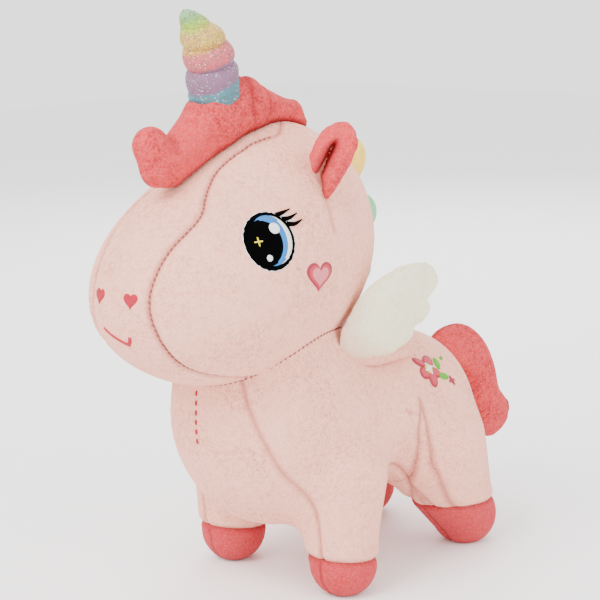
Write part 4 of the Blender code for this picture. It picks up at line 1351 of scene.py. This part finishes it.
class PLUSH_OT_mane(bpy.types.Operator):
    """Four stuffed locks down the back of the head."""
    bl_idname = "plush.mane"
    bl_label = "Mane"

    def execute(self, context):
        sizes = context.scene.plush_sizes
        made = []
        for word, centre, length, height, tilt, pale, deep in MANE_LOBES:
            outline = round_outline(length - 1, height - 1, 40) @ turned(tilt) + np.array(centre)
            item = pillow_blank(f"{word}_lock_cloth", outline, centre, 10.0, 10.0)
            place_points(item.data, coordinates(item.data)[:, [2, 0, 1]])
            remesh(item, 3.0)
            item.data.materials.clear()
            # Seam colour of each lock, half its speck colour: painted shade at the rim seam and where the lock
            # touches the head and body
            lock_seam_shade = tuple(0.5 * c for c in deep)
            finish = pile_finish(f"{word}_pile", pale, deep, lock_seam_shade, speck=800.0, depth=0.5)
            item.data.materials.append(finish)
            made.append((item, word))
        swell([item for item, _ in made], sizes.pad_reach / MM, sizes.pressure)
        for item, word in made:
            subdivide(item, 1)
            p = coordinates(item.data)
            seam = bell(p[:, 0], 1.3)
            p = p - 0.9 * seam[:, None] * unit_from(p, p.mean(0)) * [0, 1, 1]
            p = lay_on(trunk_form, lay_on(head_form, p, 0.5), 0.5)
            place_points(item.data, p)
            # Painted shade where the lock touches the head or the trunk
            contact_shade = bell(np.minimum(head_form(p), trunk_form(p)) - 0.5, 2.0)
            set_mask(item.data, "seam", np.maximum(0.4 * seam, contact_shade))
            declare(item, "toy", [f"mane_{word}"])
        return {"FINISHED"}


def unit_from(p, centre):
    away = p - centre
    return away / np.maximum(np.linalg.norm(away, axis=1, keepdims=True), 1e-6)


WING_OUTLINE = [
    (-43, 145.5), (-38, 155), (-33, 164), (-23, 171), (-12, 175), (0, 178), (16, 177), (28, 170.5), (32.5, 162),
    (25.5, 154), (32, 147.5), (28, 139), (17.5, 136.5), (19, 130), (7, 124), (-4, 122), (-18, 124),
    (-32, 127.5), (-40, 136),
]
WING_LEAN = 0.3
CREAM_DEEP = (0.50, 0.48, 0.30)
# Pink-brown mixed into the wings: painted pink light thrown back from the body along the front edge, and painted
# shade in the ray creases
WING_BOUNCE_AND_SHADE = (0.72, 0.34, 0.25)
TAIL_OUTLINE = [
    (82, 110), (90, 117), (104, 119.5), (118, 117), (132, 106), (142, 88), (148, 67), (159.5, 57), (157, 43),
    (142, 36), (128, 42), (119, 58), (113, 78), (103, 93), (93, 99), (86, 103),
]
EAR_OUTLINE = [
    (0, 0), (4, 3), (9, 13), (13, 23), (14.5, 32), (11.5, 40), (6, 44), (-1, 43), (-7, 39), (-10.5, 32), (-12, 25),
    (-10, 18), (-6, 12), (-3.4, 6),
]


def outline_normals(outline):
    tangent = np.roll(outline, -1, 0) - np.roll(outline, 1, 0)
    tangent /= np.linalg.norm(tangent, axis=1, keepdims=True)
    return np.stack([tangent[:, 1], -tangent[:, 0]], -1)


def shrunk(outline, by):
    """An outline moved inwards by a distance, whichever way round it runs."""
    normal = outline_normals(outline)
    away = np.sign(((outline - outline.mean(0)) * normal).sum(1).mean())
    return outline - away * normal * by


class PLUSH_OT_wings(bpy.types.Operator):
    """Two stuffed wings with scalloped rear edges, gathered into a pleated tab at the root."""
    bl_idname = "plush.wings"
    bl_label = "Wings"

    def execute(self, context):
        sizes, colours = context.scene.plush_sizes, context.scene.plush_colours
        cream = pile_finish("cream_pile", colours.cream_pale, CREAM_DEEP, WING_BOUNCE_AND_SHADE, depth=0.45)
        outline = smooth_outline(WING_OUTLINE, 120)
        made = []
        for side, word in SIDES:
            item = pillow_blank(f"{word}_wing_cloth", shrunk(outline, -0.6), (0, 150), 6.5, 4.0)
            remesh(item, sizes.pad_cell / MM)
            item.data.materials.append(cream)
            made.append((item, side, word))
        swell([item for item, _, _ in made], sizes.pad_reach / MM, sizes.pressure)
        for item, side, word in made:
            subdivide(item, 2)
            p = coordinates(item.data)
            u, v, w = p.T
            rise = np.clip((v - 124) / 50, 0, 1)
            pleat = np.exp(-((v - 124) / 13.0) ** 2) * 0.9
            angle = np.degrees(np.arctan2(v - 112, u + 2))
            w = w + np.sign(w) * pleat * np.sin(np.radians(angle) * 16) * np.clip(np.abs(w) / 3, 0, 1)
            rays = bell(angle - 46, 4.0) * (rise > 0.25) + bell(angle - 74, 4.0) * (rise > 0.45)
            w = w - np.sign(w) * 0.6 * rays * np.clip(np.abs(w) / 3, 0, 1)
            seam = bell(w, 0.9) * (np.abs(w) < 3)
            root = joint_place(f"{word}_wing_flap")
            x = side * (root[0] * side + WING_LEAN * (v - root[2]) + w)
            place_points(item.data, np.stack([x, u, v], -1))
            if side < 0:
                item.data.flip_normals()
            # Painted pink reflected light from the body along the front edge
            front_edge = np.interp(v, [124, 136, 146, 155, 164, 171], [-16, -31, -42, -37, -32, -22])
            blush = 0.75 * bell(np.maximum(u - front_edge, 0), 8.0) * np.clip((172 - v) / 25, 0, 1)
            # Darker pink-brown towards the root, where the wing meets the body
            foot = bell(v - 122, 5.0)
            # The seam attribute also paints shade into the ray creases and the rim seam
            set_mask(item.data, "seam", np.clip(0.1 * seam + 0.15 * rays + blush + 0.3 * foot, 0, 1))
            declare(item, f"{word}_wing", [f"{word}_wing_outer", f"{word}_wing_inner"])
            self.tab(side, word)
        return {"FINISHED"}

    def tab(self, side, word):
        """Pleated strip from the body up to the wing's gathered foot: a wavy oval tube."""
        pivot = joint_place(f"{word}_wing_flap")
        s = np.linspace(0, 1, 40)[:, None]
        turn = np.arange(14)[None] * 2 * math.pi / 14
        y = -36 + 62 * s
        z = 124 + 3.6 * np.sin(math.pi * np.clip(s, 0, 1)) ** 0.4 + np.where(s < 0.45, 14 * (0.45 - s), 0)
        fat = 1.0 + 0.28 * np.sin(2 * math.pi * s * 9)
        taper = np.sin(math.pi * (0.06 + 0.88 * s)) ** 0.5
        x = pivot[0] * side + 0.3 * (z - 124) + 2.2 * fat * np.cos(turn) * taper
        z = z - 4.0 + 4.2 * np.sin(turn) * taper
        grid = np.stack([side * x, y + 0 * turn, z], -1)
        points, faces = capped_grid(grid[::-1] if side > 0 else grid)
        # The whole tab is painted a little darker, towards the body's seam colour
        piece = add_piece(f"{word}_wing_tab", points, faces, pink(), masks={"seam": 0 * points[:, 0] + 0.15})
        declare(piece, "toy", [])


class PLUSH_OT_tail(bpy.types.Operator):
    """Stuffed tail of two halves with a lobe at its tip."""
    bl_idname = "plush.tail"
    bl_label = "Tail"

    def execute(self, context):
        sizes = context.scene.plush_sizes
        outline = smooth_outline(TAIL_OUTLINE, 140)
        item = pillow_blank("tail_cloth", shrunk(outline, 1.0), (128, 78), 11.5, 11.5)
        remesh(item, 3.0)
        item.data.materials.append(coral())
        swell([item], sizes.pad_reach / MM, sizes.pressure)
        subdivide(item, 2)
        p = coordinates(item.data)
        u, v, w = p.T
        seam = bell(w, 1.3)
        side_seam = bell(((u - 151.5) + 0.35 * (v - 60)) / 1.0, 1.4) * (v < 72) * (v > 44) * (w > 1)
        dent = 0.8 * side_seam
        w = w - np.sign(w) * dent
        p = np.stack([w, u, v], -1)
        p = p - 0.9 * seam[:, None] * unit_from(p, np.array([0, 128, 78])) * [0, 1, 1]
        place_points(item.data, lay_on(trunk_form, p, 0.5))
        # Painted shade in the outer seam groove and in the crease by the tip lobe, mixed in with the seam attribute
        set_mask(item.data, "seam", np.maximum(0.5 * seam, 0.7 * side_seam))
        declare(item, "tail", ["tail_left", "tail_right"])
        return {"FINISHED"}


class PLUSH_OT_ears(bpy.types.Operator):
    """Two plump ears, folded into a deep cleft, coral inside and body cloth behind."""
    bl_idname = "plush.ears"
    bl_label = "Ears"

    def execute(self, context):
        sizes = context.scene.plush_sizes
        outline = smooth_outline(EAR_OUTLINE, 100)
        made = []
        for side, word in SIDES:
            item = pillow_blank(f"{word}_ear_cloth", shrunk(outline, 0.8), (0, 23), 6.5, 4.0)
            remesh(item, 2.2)
            made.append((item, side, word))
        swell([item for item, _, _ in made], sizes.pad_reach / MM, sizes.pressure)
        for item, side, word in made:
            soften(item, 3)
            subdivide(item, 2)
            p = coordinates(item.data)
            u, v, w = p.T
            cleft = np.interp(v, [0, 6.5, 14.4, 23.2, 33, 40], [-1.5, -3.4, -4.8, -1.9, 1.6, 3.5])
            length = np.interp(v, [3, 9, 29, 34.5], [0.35, 1, 1, 0])
            deep = bell(u - cleft, 2.9) * length * (w > 0)
            sharp = bell(u - cleft, 1.5) * length * (w > 0)
            lobes = bell(u - cleft - 7.5, 4.5) + 0.8 * bell(u - cleft + 6.0, 3.5)
            w = w - 5.0 * deep - 2.0 * sharp + 1.8 * lobes * length * (w > 0)
            cup = 0.030 * u**2
            seam = bell(w, 0.8)
            base = joint_place(f"{word}_ear_fold") + np.array([-4.5 * side, -2.5, -4.5])
            place = ear_place(side, base)
            place_points(item.data, place(u, v, w + cup))
            if side < 0:
                item.data.flip_normals()
            item.data.materials.append(coral())
            item.data.materials.append(pink())
            faces = np.empty(len(item.data.polygons) * 3, np.float32)
            item.data.polygons.foreach_get("center", faces)
            middle_w = triangles_side(item.data, w)
            item.data.polygons.foreach_set("material_index", (middle_w < -0.4).astype(np.int32))
            # Painted shade deep in the cleft and along the rim seam, mixed in with the seam attribute
            set_mask(item.data, "seam", np.clip(1.2 * sharp + 0.6 * deep + 0.2 * seam, 0, 1))
            declare(item, f"{word}_ear", [f"{word}_ear_inner", f"{word}_ear_outer"])
        return {"FINISHED"}


def triangles_side(mesh, values):
    """Mean of a value over the corners of each quad."""
    corners = np.empty(len(mesh.loops), np.int32)
    mesh.loops.foreach_get("vertex_index", corners)
    return values[corners.reshape(-1, 4)].mean(1)


def ear_place(side, base):
    """Leaf that stands on the side of the head and faces forwards and out."""
    heading, lean = math.radians(42), math.radians(6)
    normal = np.array([side * math.sin(heading), -math.cos(heading), 0.0])
    across = np.array([side * math.cos(heading), math.sin(heading), 0.0])
    up = np.array([side * math.sin(lean), 0.12, math.cos(lean)])
    return lambda u, v, w: base + u[..., None] * across + v[..., None] * up + w[..., None] * normal


# ---------------------------------------------------------------- panel and registration

STEPS = (
    PLUSH_OT_stage, PLUSH_OT_trunk, PLUSH_OT_head, PLUSH_OT_face_details, PLUSH_OT_body_details,
    PLUSH_OT_horn, PLUSH_OT_forelock, PLUSH_OT_mane, PLUSH_OT_wings, PLUSH_OT_tail, PLUSH_OT_ears,
)


class PLUSH_PT_panel(bpy.types.Panel):
    """Buttons and settings in the 3D view's sidebar."""
    bl_label = "Plush Unicorn"
    bl_space_type = "VIEW_3D"
    bl_region_type = "UI"
    bl_category = "Plush"

    def draw(self, context):
        for step in STEPS:
            self.layout.operator(step.bl_idname)
        for group in (context.scene.plush_sizes, context.scene.plush_colours):
            for word in group.__annotations__:
                self.layout.prop(group, word)


CLASSES = (PlushColours, PlushSizes, *STEPS, PLUSH_PT_panel)


def register():
    for item in CLASSES:
        bpy.utils.register_class(item)
    bpy.types.Scene.plush_colours = PointerProperty(type=PlushColours)
    bpy.types.Scene.plush_sizes = PointerProperty(type=PlushSizes)


def unregister():
    del bpy.types.Scene.plush_sizes
    del bpy.types.Scene.plush_colours
    for item in reversed(CLASSES):
        bpy.utils.unregister_class(item)


def main():
    register()
    for step in STEPS:
        group, word = step.bl_idname.split(".")
        getattr(getattr(bpy.ops, group), word)()


if __name__ == "__main__":
    main()
